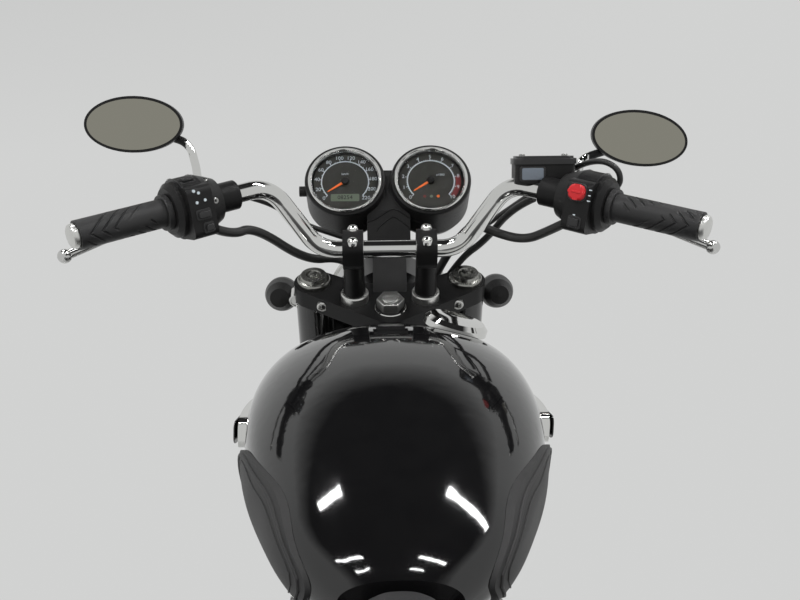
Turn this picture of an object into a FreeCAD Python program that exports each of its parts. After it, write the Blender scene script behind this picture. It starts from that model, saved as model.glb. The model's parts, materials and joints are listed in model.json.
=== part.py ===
import FreeCAD, Part
import math
import os

V = FreeCAD.Vector
Rotation = FreeCAD.Rotation
Placement = FreeCAD.Placement

# Retro parallel twin roadster, parked on its centre stand with the rear wheel lifted.
# Millimetres. X is the rider's right, Y is forward, Z is up, and the floor is at Z = 0.
# The sizes below are in bike coordinates, with the rear axle at Y = 0. Before a piece is
# written it is moved back by MID_Y, so that the origin is below the middle of the bike.

# Stance and steering geometry
WHEELBASE = 1500.0
RAKE_DEG = 28.0
TRAIL = 110.0
STAND_LIFT = 20.0
REAR_END_Y = -400.0
RUN_FIT = 0.05
SEAT_GAP = 0.3

# Tyres and wheels
FRONT_TYRE_R = 331.0
FRONT_TYRE_HALF_W = 50.0
FRONT_RIM_R = 245.0
FRONT_RIM_HALF_W = 32.0
REAR_TYRE_R = 320.0
REAR_TYRE_HALF_W = 65.0
REAR_RIM_R = 221.0
REAR_RIM_HALF_W = 42.0
TYRE_WALL = 11.0
CROWN_BANDS = 5
LINER_BANDS = 2
RIM_WALL = 4.0
RIM_WELL_DEPTH = 16.0
AXLE_R = 8.5
FRONT_HUB_R = 34.0
FRONT_HUB_HALF_W = 48.0
REAR_HUB_R = 46.0
REAR_HUB_HALF_W = 62.0
HUB_FLANGE_W = 6.0
HUB_FLANGE_RISE = 12.0
SPOKE_R = 2.0
SPOKES_PER_SIDE = 18
SPOKE_TWIST_DEG = 38.0

# Brakes and final drive
FRONT_DISC_R = 155.0
FRONT_DISC_X = 62.0
REAR_DISC_R = 127.0
REAR_DISC_X = 86.0
DISC_THICK = 5.0
DISC_BAND = 34.0
CALIPER_HALF_W = 22.0
CALIPER_GAP = 5.0
CALIPER_CORNER_R = 12.0
REAR_CALIPER_HALF_LEN = 36.0
REAR_CALIPER_LOW = 80.0
REAR_CALIPER_HIGH = 142.0
FRONT_CALIPER_BACK = 118.0
FRONT_CALIPER_UP = 62.0
FRONT_CALIPER_H = 74.0
FRONT_CALIPER_LEN = 68.0
CHAIN_X = -88.0
CHAIN_HALF_W = 8.0
CHAIN_PLATE_H = 14.0
CHAIN_PLATE_T = 2.4
CHAIN_PITCH = 15.875
ROLLER_R = 5.0
FRONT_SPROCKET_TEETH = 17
REAR_SPROCKET_TEETH = 43
SPROCKET_T = 6.0
OUTPUT_Y = 660.0
OUTPUT_Z = 372.0
OUTPUT_SHAFT_R = 14.0

# Fork, in steering coordinates: n is forward of the steering axis, s is up along it
FORK_HALF_SPACING = 99.0
FORK_TUBE_R = 20.5
SLIDER_R = 26.0
SLIDER_BOTTOM_S = -30.0
SLIDER_TOP_S = 330.0
SLIDER_FLOOR = 60.0
LOWER_YOKE_S = 545.0
LOWER_YOKE_T = 30.0
TOP_YOKE_S = 728.0
TOP_YOKE_T = 24.0
YOKE_BOSS_R = 26.0
YOKE_WAIST_R = 22.0
STEM_R = 17.0
STEM_BOSS_R = 30.0
STEM_NUT_R = 15.0
STEM_NUT_H = 14.0
FORK_CAP_R = 20.9
FORK_CAP_H = 9.0
HEAD_TUBE_R = 28.0
HEAD_TUBE_GAP = 5.0
SHROUD_R = 25.0

# Handlebar and what it carries
BAR_R = 11.0
BAR_S = 827.6
BAR_N = 20.5
BAR_KNEE_X = 86.0
BAR_RISE_X = 142.0
BAR_RISE_BACK = 32.0
BAR_RISE_UP = 80.0
BAR_END_X = 328.0
BAR_END_BACK = 168.0
BAR_END_UP = 36.0
BAR_BEND_R = 42.0
GRIP_R = 16.0
GRIP_LEN = 104.0
BAR_WEIGHT_R = 15.0
BAR_WEIGHT_LEN = 10.0
RISER_HALF_SPACING = 45.0
RISER_R = 13.0
CLAMP_W = 25.0
CLAMP_DEPTH = 44.0
CLAMP_H = 42.0
SWITCH_LEN = 58.0
SWITCH_R = 34.0
PERCH_LEN = 26.0
PERCH_R = 17.0
LEVER_THICK = 9.0
LEVER_BALL_R = 8.0
LEVER_REACH = 50.0
LEVER_DROP = 26.0
RESERVOIR_LEN = 70.0
RESERVOIR_DEPTH = 44.0
RESERVOIR_H = 28.0
RESERVOIR_AHEAD = 26.0
MIRROR_HALF_W = 58.0
MIRROR_HALF_H = 33.0
MIRROR_DEPTH = 22.0
MIRROR_X = 301.0
MIRROR_N = 72.9
MIRROR_S = 960.6
MIRROR_SET = 11.5
RIGHT_MIRROR_ROLL_DEG = 8.0
MIRROR_RIM = 3.0
GLASS_T = 2.0
STALK_R = 5.0
# Cables: side, radius, corners measured from the lever's perch, then corners measured from the headlamp
CABLE_BEND_R = 45.0
CABLES = (
    (-1, 5.5, ((14, -24, -32), (-6, 0, -44), (-28, 30, -36)),
     ((104, -214, 94), (66, -178, 94), (58, -118, 80))),
    (-1, 3.5, ((0, 34, 2), (-38, 52, -4)), ((110, -206, 140), (76, -170, 124), (44, -118, 108))),
    (1, 5.5, ((16, 2, -34), (-2, 22, -46), (-26, 42, -58)),
     ((130, -226, 126), (96, -196, 142), (62, -120, 60))),
    (1, 3.5, ((46, -6, -10), (75, -8, 3), (73, -14, 27), (51, 0, 39), (25, 60, 23)),
     ((150, -198, 154), (74, -124, 90))),
    (1, 4.5, ((-16, 40, -8), (-40, 63, -21)), ((122, -190, 114), (92, -148, 86), (70, -96, 40))),
)

# Instruments and front lamps
DIAL_HALF_SPACING = 57.5
DIAL_N = 162.2
DIAL_S = 842.9
DIAL_TILT_DEG = 33.0
CUP_R = 54.0
CUP_BACK_R = 49.0
CUP_DEPTH = 74.0
CUP_WALL = 3.0
BEZEL_R = 51.0
BEZEL_T = 7.0
BEZEL_RING = 7.0
HEADLAMP_N = 167.5
HEADLAMP_S = 627.1
HEADLAMP_R = 88.0
HEADLAMP_DEPTH = 118.0
HEADLAMP_WALL = 3.0
HEADLAMP_RIM_R = 94.0
HEADLAMP_RIM_W = 22.0
LENS_BULGE = 14.0
LENS_T = 5.0
EAR_T = 6.0
FRONT_IND_X = 147.0
FRONT_IND_N = 90.3
FRONT_IND_S = 707.8
IND_R = 23.0
IND_LEN = 58.0
IND_STEM_R = 8.0

# Mudguards
FRONT_GUARD_GAP = 18.0
FRONT_GUARD_HALF_W = 58.0
REAR_GUARD_GAP = 26.0
REAR_GUARD_HALF_W = 78.0
GUARD_T = 2.5
GUARD_CROWN = 22.0
CHAIN_GUARD_FRONT_Y = 430.0
CHAIN_GUARD_BEND_Y = 40.0
CHAIN_GUARD_REAR_Y = -70.0
CHAIN_GUARD_DROOP = 14.0
CHAIN_GUARD_GAP = 16.0
CHAIN_GUARD_SIDE = 6.0
CHAIN_GUARD_LIP = 28.0
FRONT_GUARD_START_DEG = 38.0
FRONT_GUARD_END_DEG = 172.0
REAR_GUARD_START_DEG = 30.0
REAR_GUARD_END_DEG = 146.0

# Frame, swingarm and suspension
TUBE_R = 14.0
BACKBONE_R = 23.0
RAIL_R = 11.0
CRADLE_X = 95.0
CRADLE_Z = 212.0
CRADLE_FRONT_Y = 1058.0
UPRIGHT_X = 62.0
PIVOT_Y = 540.0
PIVOT_Z = 375.0
PIVOT_PIN_R = 9.0
PIVOT_BOSS_R = 22.0
SEAT_RAIL_X = 100.0
SEAT_RAIL_Z = 738.0
SEAT_RAIL_REAR_Y = -120.0
SWINGARM_X = 122.0
SWINGARM_R = 17.0
SWINGARM_BRACE_R = 13.0
SWINGARM_EYE_HALF_W = 20.0
SWINGARM_BRACE_Y = 455.0
SHOCK_X = 148.0
SHOCK_TOP_Y = 92.0
SHOCK_TOP_DROP = 44.0
SHOCK_FOOT_Y = 26.0
SHOCK_FOOT_Z = 398.0
SHOCK_BODY_R = 19.0
SHOCK_ROD_R = 7.0
SPINE_END_Y = 545.0
SPINE_END_RISE = 14.0
SHOCK_EYE_R = 14.0
SPRING_R = 27.0
SPRING_WIRE_R = 4.5
SPRING_TURNS = 8

# Engine
ENGINE_FRONT_Y = 1010.0
ENGINE_REAR_Y = 712.0
GEARBOX_REAR_Y = 622.0
SUMP_Z = 234.0
CASE_FLOOR_Z = 290.0
CASE_TOP_Z = 505.0
CASE_HALF_W = 118.0
SUMP_HALF_W = 74.0
BARREL_FRONT_Y = 982.0
BARREL_REAR_Y = 836.0
BARREL_HALF_W = 118.0
BARREL_TOP_Z = 612.0
HEAD_TOP_Z = 692.0
CAM_TOP_Z = 752.0
FIN_T = 3.0
FIN_PITCH = 12.0
FIN_REACH = 13.0
# Round covers as (Y, Z, radius, depth)
CLUTCH_COVER = (780.0, 388.0, 92.0, 46.0)
TIMING_COVER = (920.0, 388.0, 62.0, 32.2)
ALTERNATOR_COVER = (912.0, 388.0, 76.0, 46.0)
SPROCKET_COVER_GAP = 6.0
SPROCKET_COVER_T = 44.0
SPROCKET_COVER_Y = (596.0, 800.0)
SPROCKET_COVER_Z = (312.0, 452.0)
SPROCKET_COVER_CORNER_R = 34.0
INTAKE_X = 58.0
INTAKE_Z = 655.0
INTAKE_R = 26.0
INTAKE_LEN = 131.0

# Exhaust
HEADER_R = 19.0
HEADER_PORT_X = 66.0
HEADER_PORT_Z = 655.0
SILENCER_X = 190.0
SILENCER_FRONT_Y = 480.0
SILENCER_REAR_Y = -215.0
SILENCER_FRONT_Z = 276.0
SILENCER_REAR_Z = 308.0
SILENCER_R = 43.0
SILENCER_TIP_R = 24.0
TAILPIPE_BORE_R = 17.0
TAILPIPE_BORE_DEPTH = 120.0

# Tank and seat: stations along the bike as (Y, half width, bottom, widest, top), the seat's
# heights measured from its rails
TANK_STATIONS = (
    (602.0, 50.0, 800.0, 818.0, 838.0),
    (618.0, 68.0, 794.0, 824.0, 853.0),
    (650.0, 93.0, 790.0, 838.0, 874.0),
    (700.0, 115.0, 788.0, 850.0, 899.0),
    (760.0, 135.0, 786.0, 860.0, 925.0),
    (830.0, 150.0, 785.0, 868.0, 951.0),
    (900.0, 155.0, 786.0, 874.0, 967.0),
    (960.0, 150.0, 790.0, 878.0, 970.0),
    (1015.0, 130.0, 798.0, 882.0, 961.0),
    (1052.0, 96.0, 812.0, 884.0, 942.0),
    (1068.0, 62.0, 832.0, 886.0, 922.0),
)
TANK_UPPER_POWER = 2.3
TANK_LOWER_POWER = 3.0
TUNNEL_HALF_W = 31.0
PAD_PROUD = 5.0
BADGE_PROUD = 9.0
BADGE_Y = 925.0
BADGE_Z = 872.0
BADGE_LEN = 96.0
BADGE_H = 34.0
FILLER_X = 72.0
FILLER_Y = 985.0
FILLER_R = 37.0
FILLER_H = 13.0
FILLER_LEAN_DEG = 15.0
FILLER_PITCH_DEG = 4.0
SEAT_STATIONS = (
    (592.0, 30.0, 62.0, 88.0, 105.0),
    (570.0, 44.0, 50.0, 80.0, 107.0),
    (520.0, 72.0, 42.0, 66.0, 98.0),
    (440.0, 106.0, 19.0, 46.0, 80.0),
    (330.0, 124.0, 14.0, 44.0, 74.0),
    (220.0, 122.0, 14.0, 48.0, 80.0),
    (120.0, 112.0, 15.0, 54.0, 94.0),
    (0.0, 108.0, 16.0, 58.0, 98.0),
    (-100.0, 100.0, 18.0, 58.0, 92.0),
    (-142.0, 82.0, 26.0, 56.0, 78.0),
)
PANEL_X = 112.0
PANEL_T = 4.0
PANEL_CORNER_R = 18.0
# Corners as (Y, drop below the seat rails)
PANEL_CORNERS = ((676.0, 14.0), (664.0, 98.0), (612.0, 172.0), (520.0, 182.0), (470.0, 118.0),
                 (452.0, 14.0))

# Rear lamps
TAIL_LAMP_DROP = 82.0
TAIL_LAMP_R = 42.0
REAR_IND_X = 128.0
REAR_IND_Y = -262.0
REAR_IND_DROP = 90.0
LAMP_LEN = 46.0

# Feet, stands and controls
PEG_R = 13.0
PEG_LEN = 92.0
PEG_END_R = 10.0
PEG_END_LEN = 30.0
PEG_INNER_X = 150.0
RIDER_PEG_Y = 566.0
RIDER_PEG_Z = 348.0
PILLION_PEG_Y = 318.0
PILLION_PEG_Z = 430.0
PILLION_PEG_X = (152.0, 232.0)
HANGER_CORNERS = ((112.0, 360.0, 598.0), (128.0, 340.0, 500.0))
BRACKET_R = 8.0
PEDAL_X = 186.0
PEDAL_TOE_Y = 765.0
PEDAL_PIVOT_AHEAD = 22.0
PEDAL_PIVOT_DROP = 4.0
PEDAL_BEND_AHEAD = 100.0
PEDAL_BEND_DROP = 26.0
PEDAL_TOE_DROP = 14.0
PEDAL_TOE_OUT = 42.0
PEDAL_R = 6.0
PEDAL_BOSS_R = 9.0
CENTRE_PIVOT_Y = 560.0
CENTRE_PIVOT_Z = 228.0
CENTRE_LEG_R = 12.0
CENTRE_LEG_TOP_X = 80.0
CENTRE_FOOT_X = 152.0
CENTRE_FOOT_AHEAD = 32.0
CENTRE_FOOT_LEN = 60.0
CENTRE_FOOT_W = 34.0
CENTRE_FOOT_T = 8.0
CENTRE_LUG_T = 8.0
STAND_PIN_R = 7.0
SIDE_PIVOT_X = -136.0
SIDE_PIVOT_Y = 700.0
SIDE_PIVOT_Z = 206.0
SIDE_LEG_LEN = 188.0
SIDE_LEG_R = 10.0
SIDE_SPLAY_DEG = 32.7
SIDE_FOLD_UP_DEG = 8.0

# Places that follow from the sizes above
RAKE = math.radians(RAKE_DEG)
UP = V(0, -math.sin(RAKE), math.cos(RAKE))
AHEAD = V(0, math.cos(RAKE), math.sin(RAKE))
FRONT_AXLE = V(0, WHEELBASE, FRONT_TYRE_R)
REAR_AXLE = V(0, 0, REAR_TYRE_R + STAND_LIFT)
GROUND_POINT = V(0, WHEELBASE + TRAIL, 0)
STEER_BASE = GROUND_POINT + UP * (FRONT_AXLE - GROUND_POINT).dot(UP)
AXLE_OFFSET = (FRONT_AXLE - STEER_BASE).dot(AHEAD)
STEER = Placement(STEER_BASE, Rotation(V(1, 0, 0), RAKE_DEG))
MID_Y = (WHEELBASE + FRONT_TYRE_R + REAR_END_Y) / 2
TOP_YOKE_TOP_S = TOP_YOKE_S + TOP_YOKE_T
HEADLAMP_AT = STEER.multVec(V(0, HEADLAMP_N, HEADLAMP_S))
DIALS_AT = STEER.multVec(V(0, DIAL_N, DIAL_S))
FRONT_IND_AT = STEER.multVec(V(0, FRONT_IND_N, FRONT_IND_S))
SPINE_END_Z = SEAT_RAIL_Z + SPINE_END_RISE
SHOCK_TOP_Z = SEAT_RAIL_Z - SHOCK_TOP_DROP
TAIL_LAMP_Z = SEAT_RAIL_Z - TAIL_LAMP_DROP
REAR_IND_Z = SEAT_RAIL_Z - REAR_IND_DROP
PERCH_ALONG = GRIP_LEN + SWITCH_LEN + 2 * SEAT_GAP
CHAIN_FRONT_R = CHAIN_PITCH / (2 * math.sin(math.pi / FRONT_SPROCKET_TEETH))
CHAIN_REAR_R = CHAIN_PITCH / (2 * math.sin(math.pi / REAR_SPROCKET_TEETH))


# Shapes used all over
def cylinder(start, direction, radius, length):
    return Part.makeCylinder(radius, length, start, direction)


def rod(start, end, radius):
    return cylinder(start, end - start, radius, (end - start).Length)


def block(x0, x1, y0, y1, z0, z1):
    return Part.makeBox(x1 - x0, y1 - y0, z1 - z0, V(x0, y0, z0))


def rounded_block(x0, x1, y0, y1, z0, z1, radius, axis=None):
    """A box whose edges are rounded, only those along the given axis where one is named."""
    body = block(x0, x1, y0, y1, z0, z1)
    edges = [edge for edge in body.Edges if axis is None or abs(edge.tangentAt(0).dot(axis)) > 0.99]
    return body.makeFillet(radius, edges)


def mirrored(shape):
    return shape.mirror(V(0, 0, 0), V(1, 0, 0))


def pair(shape):
    return [shape, mirrored(shape)]


def fused(shapes):
    body = shapes[0].multiFuse(shapes[1:]) if len(shapes) > 1 else shapes[0]
    return body.removeSplitter()


def rounded_path(points, radius):
    """A wire of straight runs through the points, each corner an arc as large as it can be."""
    edges = []
    start = points[0]
    for before, corner, after in zip(points, points[1:], points[2:]):
        first = (before - corner).normalize()
        second = (after - corner).normalize()
        half = first.getAngle(second) / 2
        reach = radius / math.tan(half)
        limit = 0.45 * min((before - corner).Length, (after - corner).Length)
        reach = min(reach, limit)
        bend = reach * math.tan(half)
        enter = corner + first * reach
        leave = corner + second * reach
        centre_line = (first + second).normalize()
        middle = corner + centre_line * (bend / math.sin(half) - bend)
        edges.append(Part.LineSegment(start, enter).toShape())
        edges.append(Part.Arc(enter, middle, leave).toShape())
        start = leave
    edges.append(Part.LineSegment(start, points[-1]).toShape())
    return Part.Wire(edges)


def tube(points, radius, bend_radius):
    """A round bar along straight runs and tangent arcs."""
    if len(points) == 2:
        return rod(points[0], points[1], radius)
    path = rounded_path(points, bend_radius)
    circle = Part.Circle(points[0], points[1] - points[0], radius).toShape()
    return path.makePipeShell([Part.Wire([circle])], True, False)


def turned(profile, centre, axis):
    """A body of revolution. The profile holds (radius, distance along the axis) corners."""
    points = [V(radius, 0, along) for radius, along in profile]
    face = Part.Face(Part.makePolygon(points + [points[0]]))
    body = face.revolve(V(0, 0, 0), V(0, 0, 1), 360)
    body.Placement = Placement(centre, Rotation(V(0, 0, 1), axis))
    return body


def extruded_outline(points, direction):
    return Part.Face(Part.makePolygon(list(points) + [points[0]])).extrude(direction)


def hulled_bosses(centres, radii, height):
    """A flat plate round several bosses, drawn in XY and standing up along Z."""
    parts = []
    for centre, radius in zip(centres, radii):
        parts.append(cylinder(centre, V(0, 0, 1), radius, height))
    for one, two, r_one, r_two in zip(centres, centres[1:], radii, radii[1:]):
        along = (two - one).normalize()
        side = V(-along.y, along.x, 0)
        corners = (one + side * r_one, two + side * r_two, two - side * r_two, one - side * r_one)
        parts.append(extruded_outline(corners, V(0, 0, height)))
    return fused(parts)


def steered(shape):
    """Takes a shape from steering coordinates (X, n, s) to the bike."""
    placed = shape.copy()
    placed.Placement = STEER.multiply(placed.Placement)
    return placed


def steer_point(x, n, s):
    return STEER.multVec(V(x, n, s))


def oval_section(y, half_w, bottom, widest, top, grow=0.0):
    """One closed cross section of a tank or seat, as a smooth curve through a few points."""
    points = []
    count = 20
    for index in range(count):
        angle = 2 * math.pi * index / count
        c = math.cos(angle)
        s = math.sin(angle)
        power = TANK_UPPER_POWER if s >= 0 else TANK_LOWER_POWER
        x = (half_w + grow) * math.copysign(abs(c) ** (2 / power), c)
        rise = (top - widest if s >= 0 else widest - bottom) + grow
        z = widest + rise * math.copysign(abs(s) ** (2 / power), s)
        points.append(V(x, y, z))
    curve = Part.BSplineCurve()
    curve.interpolate(points, PeriodicFlag=True)
    return Part.Wire([curve.toShape()])


def lofted(stations, grow=0.0):
    return Part.makeLoft([oval_section(*station, grow) for station in stations], True, False)


# Wheels
def crown_points(half_w, shoulder_r, outer_r, bands):
    """Corners across a tyre's crown, from one shoulder to the other, as (radius, across).

    An odd number of bands puts a flat band on the ground at the full radius."""
    points = []
    rise = (outer_r - shoulder_r) / (math.cos(math.pi / 2 / bands) if bands % 2 else 1)
    for index in range(bands + 1):
        turn = math.pi * (index / bands - 0.5)
        points.append((shoulder_r + rise * math.cos(turn), half_w * math.sin(turn)))
    return points


def tyre(axle, outer_r, half_w, bead_r, bead_half_w):
    """A casing with a rounded crown in bands, open at the beads, turned about the axle."""
    shoulder_r = outer_r - half_w * 0.62
    outside = crown_points(half_w, shoulder_r, outer_r, CROWN_BANDS)
    inside = crown_points(half_w - TYRE_WALL, shoulder_r - TYRE_WALL * 0.3, outer_r - TYRE_WALL,
                          LINER_BANDS)
    bead_inner = bead_half_w - TYRE_WALL
    profile = [(bead_r, -bead_inner), (bead_r, -bead_half_w)] + outside
    profile += [(bead_r, bead_half_w), (bead_r, bead_inner)] + inside[::-1]
    return turned(profile, axle, V(1, 0, 0))


def wire_wheel(axle, rim_r, rim_half_w, hub_r, hub_half_w):
    """Rim, hub and two crossed rows of spokes each side, as one piece."""
    well_half_w = rim_half_w * 0.55
    well_r = rim_r - RIM_WELL_DEPTH
    rim = turned((
        (rim_r, -rim_half_w), (rim_r - RIM_WALL, -rim_half_w),
        (rim_r - RIM_WALL - 6, -rim_half_w + 8), (well_r - RIM_WALL, -well_half_w),
        (well_r - RIM_WALL, well_half_w), (rim_r - RIM_WALL - 6, rim_half_w - 8),
        (rim_r - RIM_WALL, rim_half_w), (rim_r, rim_half_w),
        (rim_r - 6, rim_half_w - 8), (well_r, well_half_w - 2),
        (well_r, -well_half_w + 2), (rim_r - 6, -rim_half_w + 8),
    ), axle, V(1, 0, 0))
    flange_in = hub_half_w - HUB_FLANGE_W
    flange_r = hub_r + HUB_FLANGE_RISE
    hub = turned((
        (AXLE_R + RUN_FIT, -hub_half_w), (flange_r, -hub_half_w), (flange_r, -flange_in),
        (hub_r, -flange_in + 6), (hub_r, flange_in - 6), (flange_r, flange_in),
        (flange_r, hub_half_w), (AXLE_R + RUN_FIT, hub_half_w),
    ), axle, V(1, 0, 0))
    spokes = []
    step = 2 * math.pi / SPOKES_PER_SIDE
    for side in (-1, 1):
        for index in range(SPOKES_PER_SIDE):
            lean = 1 if index % 2 else -1
            angle = step * (index + (0.5 if side > 0 else 0))
            out_angle = angle + lean * math.radians(SPOKE_TWIST_DEG)
            inner_r = hub_r + HUB_FLANGE_RISE * 0.45
            start = V(side * (hub_half_w - HUB_FLANGE_W * 0.5), inner_r * math.cos(angle),
                      inner_r * math.sin(angle))
            outer_r = well_r - RIM_WALL * 0.5
            end = V(side * well_half_w * 0.5, outer_r * math.cos(out_angle),
                    outer_r * math.sin(out_angle))
            spokes.append(spoke(axle + start, axle + end))
    return fused([rim, hub] + spokes)


def spoke(start, end):
    """A six sided wire between two points."""
    along = (end - start).normalize()
    side = along.cross(V(1, 0, 0)).normalize()
    other = along.cross(side)
    corners = []
    for index in range(6):
        angle = math.pi * index / 3
        corners.append(start + side * (SPOKE_R * math.cos(angle)) + other * (SPOKE_R * math.sin(angle)))
    return extruded_outline(corners, end - start)


def brake_disc(axle, x, outer_r, hub_r, carrier_x):
    """A friction ring on a spider that reaches in to the hub's face."""
    ring = cylinder(axle + V(x - DISC_THICK / 2, 0, 0), V(1, 0, 0), outer_r, DISC_THICK)
    ring = ring.cut(cylinder(axle + V(x - DISC_THICK, 0, 0), V(1, 0, 0), outer_r - DISC_BAND,
                             DISC_THICK * 2))
    arms = []
    arm_r = outer_r - DISC_BAND + 4
    for index in range(6):
        arm = block(x - DISC_THICK / 2, x + DISC_THICK / 2, -9, 9, hub_r - 10, arm_r)
        arm.rotate(V(0, 0, 0), V(1, 0, 0), 60 * index)
        arm.translate(axle)
        arms.append(arm)
    boss_r = hub_r + HUB_FLANGE_RISE
    low = min(carrier_x, x - DISC_THICK / 2)
    high = max(carrier_x, x + DISC_THICK / 2)
    boss = cylinder(axle + V(low, 0, 0), V(1, 0, 0), boss_r, high - low)
    boss = boss.cut(cylinder(axle + V(low - 1, 0, 0), V(1, 0, 0), hub_r - 12, high - low + 2))
    return fused([ring, boss] + arms)


def front_wheel_parts():
    return {
        "front_tyre": [tyre(FRONT_AXLE, FRONT_TYRE_R, FRONT_TYRE_HALF_W, FRONT_RIM_R + SEAT_GAP,
                            FRONT_RIM_HALF_W)],
        "front_wheel_rim": [wire_wheel(FRONT_AXLE, FRONT_RIM_R, FRONT_RIM_HALF_W, FRONT_HUB_R,
                                       FRONT_HUB_HALF_W)],
        "front_disc": [brake_disc(FRONT_AXLE, FRONT_DISC_X, FRONT_DISC_R, FRONT_HUB_R,
                                  FRONT_HUB_HALF_W)],
    }


def rear_wheel_parts():
    root_r = CHAIN_REAR_R - ROLLER_R - 1.0
    sprocket = toothed_disc(REAR_AXLE, CHAIN_X, root_r, REAR_SPROCKET_TEETH)
    sprocket = sprocket.cut(cylinder(REAR_AXLE + V(-200, 0, 0), V(1, 0, 0), REAR_HUB_R - 12, 400))
    window_r = (root_r + REAR_HUB_R + HUB_FLANGE_RISE) / 2
    for index in range(6):
        angle = math.pi * index / 3
        centre = REAR_AXLE + V(CHAIN_X - SPROCKET_T, window_r * math.cos(angle),
                               window_r * math.sin(angle))
        sprocket = sprocket.cut(cylinder(centre, V(1, 0, 0),
                                         (root_r - REAR_HUB_R - HUB_FLANGE_RISE) * 0.32,
                                         SPROCKET_T * 2))
    carrier = cylinder(REAR_AXLE + V(CHAIN_X + SPROCKET_T / 2, 0, 0), V(1, 0, 0),
                       REAR_HUB_R + HUB_FLANGE_RISE,
                       -REAR_HUB_HALF_W - CHAIN_X - SPROCKET_T / 2)
    carrier = carrier.cut(cylinder(REAR_AXLE + V(-200, 0, 0), V(1, 0, 0), REAR_HUB_R - 12, 400))
    return {
        "rear_tyre": [tyre(REAR_AXLE, REAR_TYRE_R, REAR_TYRE_HALF_W, REAR_RIM_R + SEAT_GAP,
                           REAR_RIM_HALF_W)],
        "rear_wheel_rim": [wire_wheel(REAR_AXLE, REAR_RIM_R, REAR_RIM_HALF_W, REAR_HUB_R,
                                      REAR_HUB_HALF_W)],
        "rear_disc": [brake_disc(REAR_AXLE, REAR_DISC_X, REAR_DISC_R, REAR_HUB_R, REAR_HUB_HALF_W)],
        "rear_sprocket": [fused([sprocket, carrier])],
    }


def toothed_disc(axle, x, root_r, teeth):
    """A sprocket whose low teeth end just under the chain's rollers."""
    points = []
    for index in range(teeth * 2):
        angle = math.pi * index / teeth
        radius = root_r if index % 2 else root_r - 5
        points.append(axle + V(x - SPROCKET_T / 2, radius * math.cos(angle), radius * math.sin(angle)))
    return extruded_outline(points, V(SPROCKET_T, 0, 0))


# Frame
def frame_tubes():
    head_low = LOWER_YOKE_S + LOWER_YOKE_T + HEAD_TUBE_GAP
    head_high = TOP_YOKE_S - HEAD_TUBE_GAP
    head = steered(cylinder(V(0, 0, head_low), V(0, 0, 1), HEAD_TUBE_R, head_high - head_low))
    bore = steered(cylinder(V(0, 0, head_low - 1), V(0, 0, 1), STEM_R + RUN_FIT,
                            head_high - head_low + 2))
    head_mid = steer_point(0, 0, head_high - 45)
    head_foot = steer_point(0, -HEAD_TUBE_R + 4, head_low + 40)
    spine_end = V(0, SPINE_END_Y, SPINE_END_Z)
    spine = rod(head_mid, spine_end, BACKBONE_R)
    parts = [head, spine, Part.makeSphere(BACKBONE_R, spine_end)]
    for side in (-1, 1):
        down = [
            V(side * 14, head_foot.y, head_foot.z),
            V(side * CRADLE_X, CRADLE_FRONT_Y, CRADLE_Z + 70),
            V(side * CRADLE_X, CRADLE_FRONT_Y - 45, CRADLE_Z),
            V(side * UPRIGHT_X, CENTRE_PIVOT_Y + 70, CRADLE_Z),
            V(side * UPRIGHT_X, CENTRE_PIVOT_Y + 8, CRADLE_Z + 48),
            V(side * UPRIGHT_X, PIVOT_Y, PIVOT_Z),
            V(side * UPRIGHT_X, PIVOT_Y - 30, PIVOT_Z + 230),
            V(side * 16, spine_end.y - 6, spine_end.z - 4),
        ]
        parts.append(tube(down, TUBE_R, 60))
        seat_rail = [
            V(side * 12, spine_end.y + 4, SEAT_RAIL_Z),
            V(side * SEAT_RAIL_X, 420, SEAT_RAIL_Z),
            V(side * SEAT_RAIL_X, SEAT_RAIL_REAR_Y + 50, SEAT_RAIL_Z),
            V(side * 55, SEAT_RAIL_REAR_Y, SEAT_RAIL_Z),
            V(0, SEAT_RAIL_REAR_Y, SEAT_RAIL_Z),
        ]
        parts.append(tube(seat_rail, RAIL_R, 50))
        parts.append(tube([
            V(side * UPRIGHT_X, PIVOT_Y - 18, PIVOT_Z + 130),
            V(side * SEAT_RAIL_X, 330, 610),
            V(side * SEAT_RAIL_X, SHOCK_TOP_Y, SEAT_RAIL_Z - 6),
        ], RAIL_R, 80))
        parts.append(rod(V(side * (UPRIGHT_X - TUBE_R), PIVOT_Y, PIVOT_Z),
                         V(side * (UPRIGHT_X + TUBE_R), PIVOT_Y, PIVOT_Z), PIVOT_BOSS_R))
        parts.append(rod(V(side * (SEAT_RAIL_X - 4), SHOCK_TOP_Y, SHOCK_TOP_Z),
                         V(side * (SHOCK_X + 14), SHOCK_TOP_Y, SHOCK_TOP_Z), SHOCK_ROD_R))
        parts.append(block(side * SEAT_RAIL_X - 5, side * SEAT_RAIL_X + 5, SHOCK_TOP_Y - 16,
                           SHOCK_TOP_Y + 16,
                           SHOCK_TOP_Z - 14, SEAT_RAIL_Z))
        parts.append(centre_stand_lug(side))
    parts.append(rod(V(-UPRIGHT_X, CENTRE_PIVOT_Y + 90, CRADLE_Z),
                     V(UPRIGHT_X, CENTRE_PIVOT_Y + 90, CRADLE_Z), RAIL_R))
    parts.append(rod(V(-SEAT_RAIL_X, 250, SEAT_RAIL_Z), V(SEAT_RAIL_X, 250, SEAT_RAIL_Z), RAIL_R))
    parts.append(rod(V(-UPRIGHT_X, PIVOT_Y - 26, PIVOT_Z + 200),
                     V(UPRIGHT_X, PIVOT_Y - 26, PIVOT_Z + 200), RAIL_R))
    parts.append(side_stand_bracket())
    body = fused(parts).cut(bore)
    pin_hole = rod(V(-160, PIVOT_Y, PIVOT_Z), V(160, PIVOT_Y, PIVOT_Z), PIVOT_PIN_R)
    stand_hole = rod(V(-160, CENTRE_PIVOT_Y, CENTRE_PIVOT_Z), V(160, CENTRE_PIVOT_Y, CENTRE_PIVOT_Z),
                     STAND_PIN_R + RUN_FIT)
    return body.cut(pin_hole).cut(stand_hole)


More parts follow.
